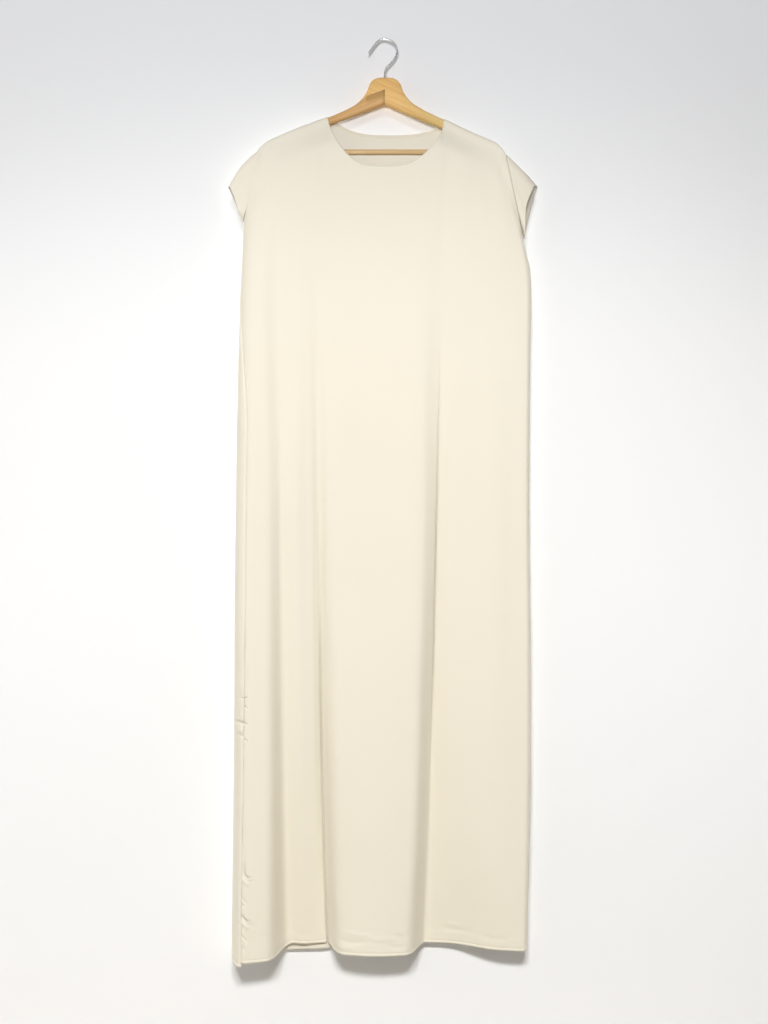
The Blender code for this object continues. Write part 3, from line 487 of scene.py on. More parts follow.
# Creases laid on the folds, in mm: depth (below zero for a trough), half width, and the line as x and z of
# its points
frontCreases = [
    # long narrow bottoms of the three valleys
    (-1.2, 7, [-181, -640, -180, -900, -179, -1180, -176, -1400, -172, -1800]),
    (-3, 8, [-119, -380, -116, -640, -114, -900, -112, -1180, -106, -1430, -101, -1600, -92, -1900]),
    (4, 15, [-158, -500, -153, -900, -147, -1180, -142, -1430, -138, -1800]),
    (-2.2, 6, [97, -560, 92, -760, 87, -960, 84, -1130, 79, -1330, 70, -1560, 62, -1800]),
    # shallow troughs down the chest and the middle
    (-1, 15, [-58, -390, -54, -640, -52, -900, -50, -1080]),
    (-0.5, 18, [30, -330, 28, -560, 24, -760]),
    (0.7, 12, [-150, -300, -148, -560, -146, -820]),
    (-0.9, 20, [150, -380, 156, -700, 162, -1050, 164, -1350]),
    (-0.7, 12, [214, -520, 216, -800, 216, -1100]),
    # drag lines from the shoulders
    (-1.3, 7, [-196, -212, -202, -270, -208, -340]),
    (0.9, 9, [-178, -196, -186, -262, -196, -350, -198, -430]),
    (-0.6, 9, [-150, -182, -158, -250, -160, -330]),
    (-1.1, 9, [112, -170, 108, -225, 101, -300, 98, -400]),
    (0.6, 10, [132, -184, 134, -250, 128, -340]),
    (-0.9, 9, [172, -216, 178, -268, 186, -340]),
    (0.9, 8, [190, -212, 200, -270, 214, -340, 222, -400]),
    (-0.5, 9, [-96, -176, -108, -230, -116, -310]),
    (-0.4, 11, [84, -214, 70, -262, 60, -330]),
    # wrinkles in the cloth above the hem
    (-1.4, 3.4, [-80, -1554, -58, -1559, -30, -1557]),
    (1.2, 3.6, [-34, -1548, -6, -1553, 20, -1550]),
    (1, 3.6, [-70, -1540, -44, -1546, -20, -1543]),
    (1.1, 2.8, [-86, -1566, -70, -1569, -48, -1568]),
    (-1.1, 3, [2, -1562, 24, -1566, 40, -1563]),
    (-0.9, 3.4, [12, -1544, 30, -1549, 44, -1545]),
    (-1.1, 3.6, [96, -1551, 124, -1555, 150, -1553]),
    (0.8, 3.4, [112, -1544, 136, -1548]),
    (-1, 3.4, [160, -1558, 190, -1562, 214, -1560]),
    (-1.3, 4, [-206, -1540, -200, -1552, -194, -1566]),
    (0.9, 3.5, [-212, -1556, -204, -1566, -198, -1574]),
    (-0.5, 3.5, [-158, -1560, -140, -1564, -124, -1562]),
]
backCreases = [
    (-1.2, 9, [-96, -420, -92, -760, -94, -1120, -98, -1540]),
    (-2, 8, [22, -430, 14, -800, 8, -1180, 3, -1560]),
    (-1.8, 7, [131, -480, 129, -820, 127, -1200, 124, -1560]),
    (-0.7, 13, [-70, -560, -76, -840, -80, -1100]),
    (0.8, 11, [-142, -700, -146, -1000, -150, -1340]),
    (-0.8, 11, [46, -900, 42, -1160, 38, -1400]),
    (-0.8, 10, [160, -640, 158, -900, 160, -1240]),
    (-1, 12, [-210, -560, -216, -860, -222, -1240]),
    (-0.8, 11, [212, -460, 216, -740, 218, -1000]),
    (-1.2, 8, [-190, -214, -196, -280, -206, -370]),
    (-0.8, 10, [-150, -184, -146, -260, -140, -350]),
    (0.8, 10, [-100, -172, -84, -230, -66, -320]),
    (0.8, 10, [108, -176, 92, -236, 76, -330]),
    (-0.9, 9, [150, -190, 146, -262, 140, -360]),
    (-1.1, 8, [182, -206, 192, -276, 206, -360]),
    (-0.7, 7, [-40, -180, -20, -196, 20, -197, 50, -184]),
    (-0.6, 4, [-60, -1552, -30, -1556, 0, -1553]),
    (0.6, 4, [60, -1548, 92, -1552]),
    (-0.6, 4, [-200, -1560, -170, -1564]),
    (-0.6, 4, [150, -1548, 180, -1551]),
]
# Puckers along the seam at the left side on each panel: height, run across, slope, depth and half width
seamPuckers = {
    -1: [(-560, 11, 0.4, 1, 9), (-655, 10, -0.5, 0.9, 9), (-770, 12, 0.3, 1, 9), (-884, 11, 0.6, 1, 9),
         (-968, 10, -0.4, 0.9, 9), (-1046, 12, 0.5, 1.2, 9), (-1112, 11, 0.3, 1.2, 9),
         (-1146, 9, -0.5, 2.4, 1.5), (-1158, 8, 0.5, 2.2, 1.5), (-1187, 9, 0.2, 2.6, 1.6),
         (-1213, 9, 0.7, 2.6, 1.5), (-1262, 11, 0.5, 1, 9), (-1322, 11, -0.4, 1, 9),
         (-1378, 12, 0.6, 1.2, 9), (-1412, 12, 0.9, 1.4, 5), (-1436, 27, 1.1, 3.9, 2.3),
         (-1448, 20, 1, -1.8, 3.2), (-1480, 14, 1.1, 2.2, 1.6), (-1492, 9, 0.4, 1.6, 1.5),
         (-1511, 28, 0.9, 4.2, 2.2), (-1521, 21, 0.9, -2, 3.2), (-1544, 14, 0.9, 2.6, 1.5),
         (-1564, 12, 0.7, 1.4, 2.6)],
    1: [(-655, 9, 0.3, 0.8, 9), (-900, 9, 0.3, 0.8, 9), (-1146, 9, 0.3, 1.8, 1.5),
        (-1187, 22, 0.1, 3.2, 2.8), (-1199, 16, -0.1, -1.4, 4), (-1210, 12, 0.4, 2.2, 1.6),
        (-1455, 7, 0.8, 1.8, 1.7), (-1528, 7, 0.8, 1.8, 1.8)],
}
sewn = {
    "calm": (0.03, 0.012),           # width from the top and from the sides in which the cloth moves less
    "seam": (0.0018, 0.0016),        # how deep the sewn edges draw in, and over what width
    "armDip": 0.3,                   # share of that at the left armhole, and at the shoulders
    "shoulderDip": 0.6,
    "ripple": 0.00022,               # height and width of the fine ripples along the side seams
    "rippleWidth": 0.013,
    "rippleWave": (2 * math.pi / 0.0195, 2.2, 31.0),
    "hemTop": 0.0225,                # height of the turned-up edge inside, and how far it shows through
    "hemShow": 0.0003,
    "hemWave": (2 * math.pi / 0.047, 1.7, 29.0),
    "drawnWave": (41.0, 1.3, 23.0),  # along the side seams
    "stitchWidth": 0.0011,
}
sewnLines = {     # height or depth, way from the edge, and half width
    "neckRoll": (0.0004, 0.0028, 0.0022),
    "neckStitch": (0.0005, 0.006, 0.0011),
    "hemRoll": (0.0006, 0.0022, 0.0018),
    "hemStitch": (0.0006, 0.0046, 0.001),
    "cuffStitch": (0.0004, 0.0075, 0.0012),
    "armholeSeam": (0.0006, 0, 0.002),
}
paintedShadeShares = {       # painted shade: how much of the deep colour, the painted shade colour, shows
    "seams": {"left": 0.0, "right": 0.42, "below": 0.3},     # painted shade in the armhole seams and the side seams
    "pucker": 0.2,  # painted shade in a pucker, for each mm that it is deeper than this
    "puckerFrom": 1.6,
    # painted shade down a pinched fold
    "pinch": 0.37,
    "neck": 0.22,   # painted shade under the neck's edge, and what its left side has more
    "neckLeft": 0.42,
    # painted shade in the turned-up cuff
    "cuff": 0.25,
}
creaseFade = 0.22               # share of a crease's length in which each end fades
unevenness = [(0.0011, 14.0, 3.6, 3.1), (0.00035, 34.0, 11.0, 7.7)]     # height, scales and place


def creaseField(creases, x, z):
    # sum of all the creases at these places, in metres outwards
    total = np.zeros_like(x)
    for depth, half, line in creases:
        points = np.reshape(line, (-1, 2)) * mm
        steps = np.diff(points, axis=0)
        runs = np.hypot(steps[:, 0], steps[:, 1])
        nearest = np.full_like(x, 1e9)
        along = np.zeros_like(x)
        for k, (start, step, run) in enumerate(zip(points[:-1], steps, runs)):
            t = np.clip(((x - start[0]) * step[0] + (z - start[1]) * step[1]) / run ** 2, 0.0, 1.0)
            away = np.hypot(x - start[0] - t * step[0], z - start[1] - t * step[1])
            closer = away < nearest
            nearest = np.where(closer, away, nearest)
            along = np.where(closer, (runs[:k].sum() + t * run) / runs.sum(), along)
        fade = ease(along / creaseFade) * ease((1 - along) / creaseFade)
        total += depth * mm * dent(nearest, half * mm) * fade
    return total


def wander(x, z, facing):
    # broad unevenness of hanging cloth, longer downwards than across
    made = np.zeros_like(x)
    flatX, flatZ, flat = x.ravel(), z.ravel(), made.ravel()
    for k in range(len(flat)):
        for height, across, down, seed in unevenness:
            flat[k] += height * noise.noise((flatX[k] * across, flatZ[k] * down, seed * facing))
    return made


def sewnLine(name, away):
    height, place, width = sewnLines[name]
    return height * dent(away - place, width)


def drawnIn(away):
    depth, width = sewn["seam"]
    return depth * np.exp(-(away / width) ** 1.5)


def unevenWave(name, way):
    # a wave whose length changes along the way
    turns, bend, pace = sewn[name]
    return np.sin(way * turns + bend * np.sin(way * pace))


def dressPanel(panel, base, creases):
    # works out the finished surface of one panel: folds, creases, sewn edges and the turned-up hem, and the
    # painted shade that darkens its colour in puckers, pinched folds, seams and under the neck's edge
    normal = unit(np.cross(np.gradient(base, axis=0), np.gradient(base, axis=1))) * panel.facing
    x, z = base[..., 0], base[..., 2]
    aboveHem = z - z[:, -1:]
    fromTop, fromLeft = runLength(base, 1), runLength(base, 0)
    fromRight = fromLeft[-1:] - fromLeft
    nearSide = np.minimum(fromLeft, fromRight)
    rowNumber = np.arange(z.shape[1])[None]
    inYoke = rowNumber < len(panel.yoke)
    onNeck = np.array([neckCorner[0] < panel.topX(c) < neckCorner[1] for c in panel.columns])[:, None]
    # cloth held by the hanger and by its own edges moves little
    lift = creaseField(creases, x, z) + wander(x, z, panel.facing)
    lift *= ease(fromTop / sewn["calm"][0]) * ease(nearSide / sewn["calm"][1])
    # painted shade: how far the colour is darkened where shade falls, in puckers, pinched folds, seams and
    # under the neck's edge
    paintedShade = np.zeros_like(x)
    # puckers of the seam turned to the front, with painted shade in the deeper ones
    for height, run, slope, depth, half in seamPuckers[panel.facing]:
        reach = ease((run * mm - fromLeft) / (0.6 * run * mm)) * ease(fromLeft / 0.0015 + 0.35)
        centre = height * mm + slope * fromLeft * panel.facing
        trough = reach * dent(z - centre, half * mm)
        lift -= depth * mm * trough
        paintedShade += paintedShadeShares["pucker"] * max(0.0, depth - paintedShadeShares["puckerFrom"]) * trough ** 2
    # fine ripples that the sewing draws up along both side seams
    ripple = unevenWave("rippleWave", z) * (0.55 + 0.45 * np.sin(z * 17.0 + panel.facing))
    near = ease((sewn["rippleWidth"] - nearSide) / sewn["rippleWidth"])
    lift += sewn["ripple"] * ripple * near * ease((-0.36 - z) / 0.06)
    # edges drawn in along the seams
    dip = drawnIn(nearSide) * (rowNumber > 0)
    dip *= np.where((fromLeft < fromRight) & inYoke, sewn["armDip"], 1.0)
    lift -= dip + np.where(onNeck, 0.0, sewn["shoulderDip"] * drawnIn(fromTop))
    # the stitched edge of the neck
    lift += np.where(onNeck, sewnLine("neckRoll", fromTop) - sewnLine("neckStitch", fromTop), 0.0)
    # the hem: a rounded edge, the sewing line, and the turned-up edge that shows through
    lift += sewnLine("hemRoll", aboveHem) - sewnLine("hemStitch", aboveHem)
    turned = ease((sewn["hemTop"] - aboveHem) / 0.0025) * ease(aboveHem / 0.006)
    lift += sewn["hemShow"] * (1 + 0.35 * unevenWave("hemWave", fromLeft)) * turned
    done = base + normal * lift[..., None]
    # pinched folds, with painted shade down their lines
    for row in panel.folds:
        if row[0] in pinches:
            depth = mm * smoothCurve(pinches[row[0]], z)
            fromLine = np.abs(x - foldPlace(row, z))
            done[..., 1] += depth * np.interp(fromLine, *np.array(pinchProfile).T)
            paintedShade += paintedShadeShares["pinch"] * ease(depth / 0.005) * dent(fromLine, 0.0016)
    # painted shade under the left side of the neck's edge, and in the seams where stitches draw them in
    neckSide = paintedShadeShares["neckLeft"] * ease((-0.04 - x) / 0.03) + paintedShadeShares["neck"]
    paintedShade += np.where(onNeck, neckSide * dent(fromTop, 0.0013), 0.0)
    below = paintedShadeShares["seams"]["below"] * ease((-0.75 - z) / 0.5) * (0.55 + 0.45 * unevenWave("drawnWave", z))
    for side, fromEdge in (("left", fromLeft), ("right", fromRight)):
        paintedShade += np.where(inYoke, paintedShadeShares["seams"][side], below) * dent(fromEdge, sewn["stitchWidth"])
    # the painted shade goes along as a fourth channel
    done = np.concatenate([done, np.clip(paintedShade, 0.0, 1.0)[..., None]], axis=-1)
    return addSideAllowance(addHemTurn(done, normal))


def addHemTurn(grid, normal):
    # rows that carry the cloth round the hem's edge and up inside
    rises = grid[:, :, 2] - grid[:, -1:, 2]
    extra = []
    for rise, inward in hemTurn:
        row = np.array([[np.interp(rise, column[::-1], grid[k, ::-1, axis]) for axis in range(grid.shape[2])]
                        for k, column in enumerate(rises)])
        row[:, :3] -= normal[:, -1] * inward
        extra.append(row)
    return np.concatenate([grid, np.stack(extra, axis=1)], axis=1)


def addSideAllowance(grid):
    # the side seams' edges, turned into the hollow below the armholes
    low = len(yokeRows) - 1
    rows = np.arange(grid.shape[1])
    depthShare = ease((rows - low + 3) / 9.0)[:, None]
    for step in (1, -1):     # from the left, and from the right
        edge, flat = grid[::step][0], grid[::step][len(turnSteps)]
        target = edge.copy()
        target[:, 0], target[:, 1] = flat[:, 0], dress["sideY"]
        inward = unit(target - edge)
        strips = [edge + inward * (detail["allowanceGap"] + depth * depthShare)
                  for depth in detail["allowance"]]
        grid = np.concatenate([strips, grid[::step]])[::step]
    return grid


def clothObject(name, grid, facing, material, shell, closed=False):
    # a grid of points as a thin shell of cloth with its threads as a UV map in metres, and its painted shade
    # as a point attribute
    across, down, channels = grid.shape
    paintedShades = grid[..., 3] if channels > 3 else np.zeros((across, down))
    grid = grid[..., :3]
    bm = bmesh.new()
    bmesh.ops.create_grid(bm, x_segments=across - 1, y_segments=down - 1, size=1.0)
    paintedShade = bm.verts.layers.float.new("paintedShade")
    order = sorted(bm.verts, key=lambda v: (round(v.co.y * (down - 1)), round(v.co.x * (across - 1))))
    warp, weft = runLength(grid, 0), runLength(grid, 1)
    threads = {}
    for index, vert in enumerate(order):
        row, column = divmod(index, across)
        vert.co = grid[column, row]
        vert[paintedShade] = paintedShades[column, row]
        threads[vert] = (warp[column, row], -weft[column, row])
    uv = bm.loops.layers.uv.new("threads")
    for face in bm.faces:
        face.smooth = True
        for loop in face.loops:
            loop[uv].uv = threads[loop.vert]
    if closed:
        bmesh.ops.remove_doubles(bm, verts=bm.verts[:], dist=1e-6)
    if facing < 0:
        bmesh.ops.reverse_faces(bm, faces=bm.faces[:])
    made = linkNew(name, meshFrom(bm, name))
    made.data.materials.append(material)
    wall = made.modifiers.new("shell", "SOLIDIFY")
    wall.thickness = shell
    wall.offset = 0.0
    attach(made, "root")
    return made


def standFor(piece, node):
    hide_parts(node)
    return piece


# Materials


def newMaterial(name):
    made = bpy.data.materials.new(name)
    made.use_nodes = True
    return made, made.node_tree, made.node_tree.nodes["Principled BSDF"]


def fillNode(tree, node, inputs):
    # sets a node's inputs, or links them where the value is another node's output
    for key, value in inputs.items():
        if isinstance(value, bpy.types.NodeSocket):
            tree.links.new(value, node.inputs[key])
        else:
            node.inputs[key].default_value = value


def addNode(tree, kind, inputs, **settings):
    node = tree.nodes.new(kind)
    for key, value in settings.items():
        setattr(node, key, value)
    fillNode(tree, node, inputs)
    return node


def addMath(tree, operation, *values, clamp=False):
    node = addNode(tree, "ShaderNodeMath", dict(enumerate(values)), operation=operation, use_clamp=clamp)
    return node.outputs[0]


def mapRange(tree, value, low, high, toLow=0.0, toHigh=1.0):
    ends = {"Value": value, "From Min": low, "From Max": high, "To Min": toLow, "To Max": toHigh}
    return addNode(tree, "ShaderNodeMapRange", ends).outputs["Result"]


def addNoise(tree, place, scale, **inputs):
    return addNode(tree, "ShaderNodeTexNoise", {"Vector": place, "Scale": scale, **inputs}).outputs["Fac"]


def mixColours(tree, factor, *colours):
    first, second = ((*c, 1) if isinstance(c, tuple) else c for c in colours)
    return addNode(tree, "ShaderNodeMix", {"Factor": factor, "A": first, "B": second},
                   data_type="RGBA").outputs["Result"]


def mapping(tree, place, key, value):
    return addNode(tree, "ShaderNodeMapping", {"Vector": place, key: value}).outputs["Vector"]


def addBump(tree, height, strength, depth):
    bump = addNode(tree, "ShaderNodeBump", {"Height": height, "Strength": strength, "Distance": depth})
    return bump.outputs["Normal"]


def objectPlace(tree):
    return addNode(tree, "ShaderNodeTexCoord", {}).outputs["Object"]


crepe = {
    "light": (0.812, 0.771, 0.662),
    "dark": (0.777, 0.73, 0.617),
    "inside": {"light": (0.79, 0.73, 0.61), "dark": (0.75, 0.685, 0.56)},     # a darker copy of the crepe for the neck facings: painted shade, as they lie inside the neck
    "deep": (0.235, 0.205, 0.165),  # painted shade colour: what the cloth is darkened towards in closed folds, seams and puckers
    "roughness": 0.7,
    "thread": 0.00042,              # metres from thread to thread
    "pebble": 0.0011,               # size of the crepe's grain
    "sheen": 0.18,
    "bump": (0.35, 0.00012),        # strength and depth
    "weaveShare": 0.35,             # of the weave in the bump
    "toneShares": (0.45, 0.55),     # of the fine grain and of broad clouds in the colour
}


def crepeCloth(name, light, dark):
    made, tree, shader = newMaterial(name)
    threads = addNode(tree, "ShaderNodeUVMap", {}, uv_map="threads").outputs["UV"]
    wave = {"Vector": threads, "Scale": 0.314 / crepe["thread"], "Distortion": 0.6}
    warp, weft = (addNode(tree, "ShaderNodeTexWave", wave, bands_direction=way).outputs["Fac"]
                  for way in "XY")
    pebble = addNoise(tree, threads, 1 / crepe["pebble"], Detail=3.0, Roughness=0.6)
    cloud = addNoise(tree, objectPlace(tree), 6.0, Detail=3.0)
    height = addMath(tree, "MULTIPLY_ADD", addMath(tree, "MULTIPLY", warp, weft), crepe["weaveShare"], pebble)
    fine, broad = crepe["toneShares"]
    tone = addMath(tree, "MULTIPLY_ADD", pebble, fine, addMath(tree, "MULTIPLY", cloud, broad))
    # painted shade: the colour is darkened towards the painted shade colour by the painted shade attribute
    paintedShade = addNode(tree, "ShaderNodeAttribute", {}, attribute_name="paintedShade").outputs["Fac"]
    fillNode(tree, shader, {
        "Base Color": mixColours(tree, paintedShade, mixColours(tree, tone, light, dark), crepe["deep"]),
        "Normal": addBump(tree, height, *crepe["bump"]),
        "Roughness": crepe["roughness"],
        "Specular IOR Level": 0.35,
        "Sheen Weight": crepe["sheen"],
        "Sheen Roughness": 0.45,
    })
    return made


beech = {
    "left": {"light": (0.7, 0.432, 0.18), "dark": (0.57, 0.323, 0.12), "slope": 21.5},
    "right": {"light": (0.775, 0.56, 0.222), "dark": (0.65, 0.428, 0.158), "slope": -24.5,
              "bossTint": (1.12, 0.99, 0.93)},  # the wood is redder up at the boss
    "bar": {"light": (0.72, 0.52, 0.27), "dark": (0.6, 0.4, 0.185), "slope": 0.0},
}
wood = {
    "grain": (7.0, 160.0, 160.0),  # how fine along and across the arm
    "flecks": (260.0, 1500.0, 1500.0),
    "fleckShare": 0.35,
    "bossFade": (0.02, 0.085),     # way from the middle over which that redder tint fades
    "bump": (0.25, 0.00015),
}


def beechWood(name, values):
    made, tree, shader = newMaterial(name)
    place = objectPlace(tree)
    turned = mapping(tree, place, "Rotation", (0.0, math.radians(values["slope"]), 0.0))
    grain = addNoise(tree, mapping(tree, turned, "Scale", wood["grain"]), 1.0, Detail=5.0, Roughness=0.62,
                     Distortion=0.5)
    flecks = addNoise(tree, mapping(tree, turned, "Scale", wood["flecks"]), 1.0, Detail=2.0)
    flecks = mapRange(tree, flecks, 0.58, 0.72, toHigh=wood["fleckShare"])
    both = addMath(tree, "ADD", mapRange(tree, grain, 0.36, 0.66), flecks, clamp=True)
    colour = mixColours(tree, both, values["light"], values["dark"])
    if "bossTint" in values:
        fromBoss = addNode(tree, "ShaderNodeSeparateXYZ", {"Vector": place}).outputs["X"]
        tint = mixColours(tree, mapRange(tree, fromBoss, *wood["bossFade"]), values["bossTint"], (1, 1, 1))
        both = {0: colour, 1: tint}
        colour = addNode(tree, "ShaderNodeVectorMath", both, operation="MULTIPLY").outputs["Vector"]
    fillNode(tree, shader, {
        "Base Color": colour,
        "Normal": addBump(tree, grain, *wood["bump"]),
        "Roughness": 0.55,
        "Specular IOR Level": 0.3,
        "Coat Weight": 0.06,
        "Coat Roughness": 0.45,
    })
    return made


def brightSteel():
    made, tree, shader = newMaterial("bright_steel")
    marks = addNoise(tree, objectPlace(tree), 900.0, Detail=4.0)
    fillNode(tree, shader, {"Base Color": mixColours(tree, marks, (0.78, 0.78, 0.79), (0.68, 0.68, 0.69)),
                            "Roughness": mapRange(tree, marks, 0.0, 1.0, 0.2, 0.36), "Metallic": 1.0})
    return made


def stagePaint(name, colour):
    # rolled paint that is not there for a viewer behind the wall or under the floor
    made, tree, shader = newMaterial(name)
    roller = addNoise(tree, objectPlace(tree), 260.0, Detail=2.0)
    fillNode(tree, shader, {"Base Color": (*colour, 1), "Roughness": 0.85,
                            "Normal": addBump(tree, roller, 0.1, stage["paintDepth"])})
    behind = addNode(tree, "ShaderNodeNewGeometry", {}).outputs["Backfacing"]
    clear = addNode(tree, "ShaderNodeBsdfTransparent", {}).outputs["BSDF"]
    mix = addNode(tree, "ShaderNodeMixShader", {"Fac": behind, 1: shader.outputs["BSDF"], 2: clear})
    tree.links.new(mix.outputs["Shader"], tree.nodes["Material Output"].inputs["Surface"])
    return made


# Build the dress

print("stage 2: cloth panels")
crepeOut = crepeCloth("ecru_crepe", crepe["light"], crepe["dark"])
front = Panel(-1, frontFolds, frontSpans, frontNeck)
back = Panel(1, backFolds, backSpans, backNeck)
frontBase, backBase = front.grid(), back.grid()
frontGrid, backGrid = dressPanel(front, frontBase, frontCreases), dressPanel(back, backBase, backCreases)
frontCloth = clothObject("front_cloth", frontGrid, -1, crepeOut, dress["shell"])
backCloth = clothObject("back_cloth", backGrid, 1, crepeOut, dress["shell"])
standFor(frontCloth, "front_panel")
standFor(backCloth, "back_panel")

# Sleeves

sleeve = {
    "rows": 26,
    "roll": (0.7, 0.25),  # share of the armhole where the sleeve turns out sideways, and over which
    "swell": {"left": 0.0034, "right": 0.0016},
    "tuck": 0.0006,       # how far the sleeve's edge lies under the panels' edge
    "cuffTurn": [(0.001, 0.001), (0.006, 0.0014), (0.012, 0.0014)],
    "sag": 0.0008,
    # painted shade over a whole sleeve: only the right one is darkened
    "paintedShade": {"left": 0.0, "right": 0.05},
}


def sleeveGrid(side):
    sign = -1 if side == "left" else 1
    rows = np.array(yokeRows)
    rolled = ease((rows - sleeve["roll"][0]) / sleeve["roll"][1])[:, None]
    armhole = {}
    for name, base in (("front", frontBase), ("back", backBase)):
        here, _, beside = base[::-sign][:3, :len(rows)]
        out = unit(here - beside)
        out = unit(out * (1 - rolled) + np.array([sign, 0.0, 0.0]) * rolled)
        armhole[name] = here + out * (0.0003 + 0.0007 * rolled)
    # round the armhole: down the front and up the back, which share their ends
    armhole["front"][[0, -1]] = (armhole["front"][[0, -1]] + armhole["back"][[0, -1]]) / 2
    loop = [(part, "front", start) for part, start in zip(rows, armhole["front"])]
    loop += [(part, "back", start) for part, start in zip(rows, armhole["back"])][-2:0:-1]
    cuff = cuffForm[side]
    middleOfHole = np.mean([start for _, _, start in loop], axis=0)
    grid = []
    for part, name, start in loop:
        x, z = (float(smoothCurve([(row[0], row[axis]) for row in cuff[name]], part)) for axis in (1, 2))
        end = np.array([x, cuffY + (-1 if name == "front" else 1) * cuff["half"] * openShare(part), z])
        length = np.linalg.norm(end - start)
        inward = unit(middleOfHole - start)
        column = [start + inward * sleeve["tuck"] - np.array([sign * 0.0012, 0, 0]) * (1 - part)]
        # painted shade at the armhole seam, down the sleeve and in the turned cuff
        paintedShades = [paintedShadeShares["seams"][side]]
        for step in range(sleeve["rows"] + 1):
            share = step / sleeve["rows"]
            swell = sleeve["swell"][side] * math.sin(math.pi * share) * (1 - part)
            place = start + (end - start) * share + np.array([sign * swell, 0.0, swell])
            dip = sewnLine("cuffStitch", length * (1 - share)) + sewnLine("armholeSeam", length * share)
            sag = math.sin(share * math.pi) * math.sin(part * 13.0 + (0 if name == "front" else 2.4))
            column.append(place + inward * (dip - sleeve["sag"] * sag))
            seam = paintedShadeShares["seams"][side] * dent(length * share, sewn["stitchWidth"])
            paintedShades.append(seam + sleeve["paintedShade"][side])
        tail = column[-1]
        way = unit(column[-2] - tail)
        for reach, deep in sleeve["cuffTurn"]:
            column.append(tail + way * min(reach, 0.8 * length) + inward * min(deep, 0.3 * length))
            paintedShades.append(paintedShadeShares["cuff"])
        grid.append([[*place, paintedShade] for place, paintedShade in zip(column, paintedShades)])
    grid.append(grid[0])
    return np.array(grid)


print("stage 3: sleeves")
for side in ("left", "right"):
    piece = clothObject("sleeve_cloth_" + side, sleeveGrid(side), -1 if side == "left" else 1, crepeOut,
                        dress["shell"], closed=True)
    standFor(piece, "sleeve_" + side)

# Neck facings

facing = {
    "width": 0.0066,
    "thick": 0.00025,
    "below": 0.0002,  # how far the strip starts under the neck's edge
    "off": 0.00005,   # between the strip and the panel
    "roll": 0.00012,
    "clear": 0.01,    # it ends where the neck's edge is this close under the shoulder line
    "rows": 7,
    "alongRow": 14,   # the row of the panel that the strip runs towards
}


def facingGrid(panel, base):
    tops = [panel.topX(c) for c in panel.columns]
    columns = [k for k, x in enumerate(tops) if neckCorner[0] < x < neckCorner[1]
               and float(shoulderZ(x)) - panel.topZ(x) > facing["clear"]]
    edge = base[columns, 0]
    downs = unit(base[columns, facing["alongRow"]] - edge)
    inward = unit(np.cross(np.gradient(edge, axis=0), downs))
    inward *= np.where(inward[:, 1:2] * panel.facing < 0, 1.0, -1.0)
    depth = dress["shell"] / 2 + facing["off"] + facing["thick"] / 2
    rows = []
    for share in np.linspace(0.0, 1.0, facing["rows"]):
        roll = facing["roll"] * math.sin(math.pi * share)
        rows.append(edge + downs * (facing["below"] + facing["width"] * share) + inward * (depth + roll))
    return np.stack(rows, axis=1)


print("stage 4: neck facings")
# the facings take the darker copy of the crepe: painted shade
crepeIn = crepeCloth("ecru_crepe_facing", **crepe["inside"])
for name, panel, base in (("front", front, frontBase), ("back", back, backBase)):
    piece = clothObject("neck_strip_" + name, facingGrid(panel, base), panel.facing, crepeIn, facing["thick"])
    standFor(piece, "neck_facing_" + name)

# Hanger

print("stage 5: hanger")
hangerLooks = {
    "wire": 0.0018,      # radius of the hook's wire
    "barSides": 40,
    "barRound": 0.0006,  # of the bar's ends
    "sharpFrom": 38,     # degrees from which an edge of an arm stays sharp
    "weld": 0.00001,
}
hookRoute = [(0, -0.081), (0, -0.07), (0, -0.06), (0, -0.0535), (0.0018, -0.0495), (0.0055, -0.0455),
             (0.0125, -0.039), (0.0182, -0.0318), (0.0213, -0.0225), (0.0208, -0.0135), (0.0165, -0.0055),
             (0.009, 0), (0, 0.0018), (-0.0075, 0.001), (-0.0138, -0.003), (-0.019, -0.0095),
             (-0.024, -0.0175), (-0.029, -0.0245)]


def hangerPiece(name, bm, material, node):
    piece = linkNew(name, meshFrom(bm, name))
    piece.data.materials.clear()
    piece.data.materials.append(material)
    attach(piece, "root")
    return standFor(piece, node)


def turnTo(bm, way, place):
    # turns what lies along Z to this way and moves it to its place
    turn = Vector((0, 0, 1)).rotation_difference(Vector(way)).to_matrix()
    bmesh.ops.rotate(bm, verts=bm.verts[:], cent=(0, 0, 0), matrix=turn)
    bmesh.ops.translate(bm, verts=bm.verts[:], vec=place)


def weldedCopy(mesh):
    bm = bmesh.new()
    bm.from_mesh(mesh)
    bmesh.ops.remove_doubles(bm, verts=bm.verts[:], dist=hangerLooks["weld"])
    return bm


def armPiece(side):
    bm = weldedCopy(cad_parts["hanger_arm_" + side].data)
    for face in bm.faces:
        face.smooth = True
    piece = hangerPiece("arm_wood_" + side, bm, beechWood("beech_" + side, beech[side]),
                        "hanger_arm_" + side)
    piece.data.set_sharp_from_angle(angle=math.radians(hangerLooks["sharpFrom"]))


def barPiece():
    low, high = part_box("trouser_bar")
    radius = (high.z - low.z) / 2
    bm = bmesh.new()
    bmesh.ops.create_cone(bm, cap_ends=True, segments=hangerLooks["barSides"], radius1=radius, radius2=radius,
                          depth=high.x - low.x)
    turnTo(bm, (1, 0, 0), (low + high) / 2)
    ends = [e for e in bm.edges if len(e.link_faces) == 2 and any(len(f.verts) > 4 for f in e.link_faces)]
    bmesh.ops.bevel(bm, geom=ends, offset=hangerLooks["barRound"], affect="EDGES", segments=3, profile=0.5,
                    material=-1)
    for face in bm.faces:
        face.smooth = len(face.verts) == 4
    piece = hangerPiece("bar_wood", bm, beechWood("beech_bar", beech["bar"]), "trouser_bar")
    piece.visible_shadow = False     # the photo shows no shadow of it inside the neck


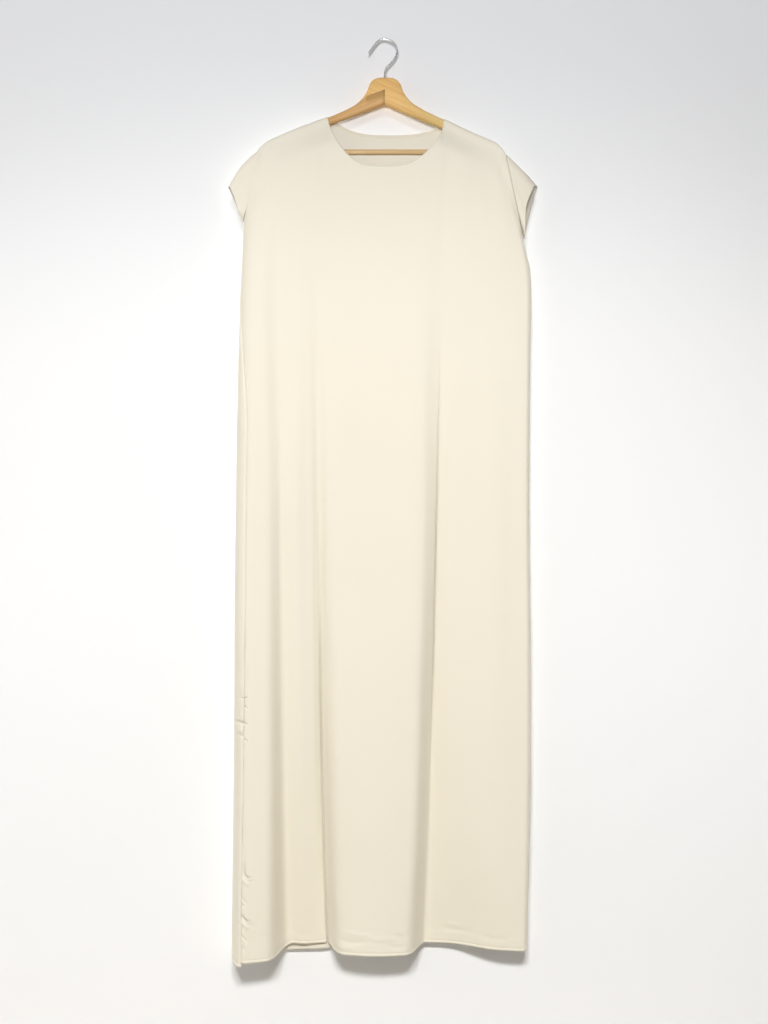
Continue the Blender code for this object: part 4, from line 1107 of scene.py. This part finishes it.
def hookPiece():
    curve = bpy.data.curves.new("hook_line", "CURVE")
    curve.dimensions = "3D"
    curve.bevel_depth = hangerLooks["wire"]
    curve.bevel_resolution = 6
    curve.resolution_u = 6
    curve.use_fill_caps = True
    line = curve.splines.new("NURBS")
    line.points.add(len(hookRoute) - 1)
    for point, (x, z) in zip(line.points, hookRoute):
        point.co = (x, 0.0, z, 1.0)
    line.use_endpoint_u = True
    line.order_u = 4
    draft = linkNew("hook_line", curve)
    bpy.context.view_layer.update()
    mesh = bpy.data.meshes.new_from_object(draft.evaluated_get(bpy.context.evaluated_depsgraph_get()))
    bpy.data.objects.remove(draft)
    bm = weldedCopy(mesh)
    bmesh.ops.recalc_face_normals(bm, faces=bm.faces[:])
    for face in bm.faces:
        face.smooth = len(face.verts) == 4
    hangerPiece("hook_wire", bm, brightSteel(), "hanger_hook")


for side in ("left", "right"):
    armPiece(side)
barPiece()
hookPiece()

print("stage 6")

# Wall, floor and light

print("stage 7: light")
ceilingSpot = {"aim": (-0.14, 0.0, -1.22), "cone": 30.0, "wider": 2.9, "radius": 0.24, "power": 344.0,
               "colour": (1.0, 0.988, 0.97)}
warm = (1.0, 0.97, 0.93)
lamps = {
    "ceiling_left": {"place": (-0.38, -3.5, 1.2), **ceilingSpot},
    "ceiling_right": {"place": (0.18, -3.5, 1.2), **ceilingSpot},
    "front_light": {"place": (-0.12, -3.2, -0.62), "aim": (-0.16, 0.0, 0.29), "cone": 34.0, "wider": 3.4,
                    "radius": 0.3, "power": 276.0, "colour": (0.985, 0.995, 1.02)},
    "window_light": {"place": (-2.3, -1.5, -0.4), "aim": (0, 0, -0.8), "side": 2.0, "power": 11.0,
                     "colour": warm},
    "side_light": {"place": (2.3, -1.5, -0.6), "aim": (0, 0, -0.9), "side": 2.0, "power": 5.0,
                   "colour": warm},
    "back_light": {"place": (-1.6, 2.6, 0.6), "aim": (0, 0, -0.8), "side": 1.6, "power": 60.0,
                   "colour": (1, 1, 1)},
}
roomLight = {"Color": (1.0, 0.94, 0.85, 1), "Strength": 0.1}


def addPlane(name, facing, place, material):
    bm = bmesh.new()
    bmesh.ops.create_grid(bm, x_segments=1, y_segments=1, size=stage["size"] / 2)
    turnTo(bm, facing, place)
    made = linkNew(name, meshFrom(bm, name))
    made.data.materials.append(material)
    return made


def addLamp(name, lamp):
    # with a cone it is a spot with a soft edge, "wider" times as wide as tall, and otherwise a square panel
    spot = "cone" in lamp
    data = bpy.data.lights.new(name, "SPOT" if spot else "AREA")
    data.energy, data.color = lamp["power"], lamp["colour"]
    if spot:
        data.spot_size, data.spot_blend = math.radians(lamp["cone"]), 1.0
        data.shadow_soft_size = lamp["radius"]
    else:
        data.shape = "RECTANGLE"
        data.size = data.size_y = lamp["side"]
    made = linkNew(name, data)
    made.location = lamp["place"]
    way = Vector(lamp["aim"]) - Vector(lamp["place"])
    made.rotation_euler = way.to_track_quat("-Z", "Y").to_euler()
    made.scale = (lamp.get("wider", 1.0), 1.0, 1.0)


floorZ = cadLow.z - stage["floorDrop"]
wallY = cadHigh.y + stage["wallGap"]
addPlane("floor", (0, 0, 1), (0, 0, floorZ), stagePaint("floor_paint", stage["floorColour"]))
wallPlace = (0, wallY, floorZ + stage["size"] / 2)
wall = addPlane("wall", (0, -1, 0), wallPlace, stagePaint("wall_paint", stage["wallColour"]))
wall.visible_shadow = False
for name, lamp in lamps.items():
    addLamp(name, lamp)
world = bpy.data.worlds.new("studio")
world.use_nodes = True
fillNode(world.node_tree, world.node_tree.nodes["Background"], roomLight)
bpy.context.scene.world = world
bpy.context.scene.view_settings.view_transform = "Standard"

print("stage 8: finish")
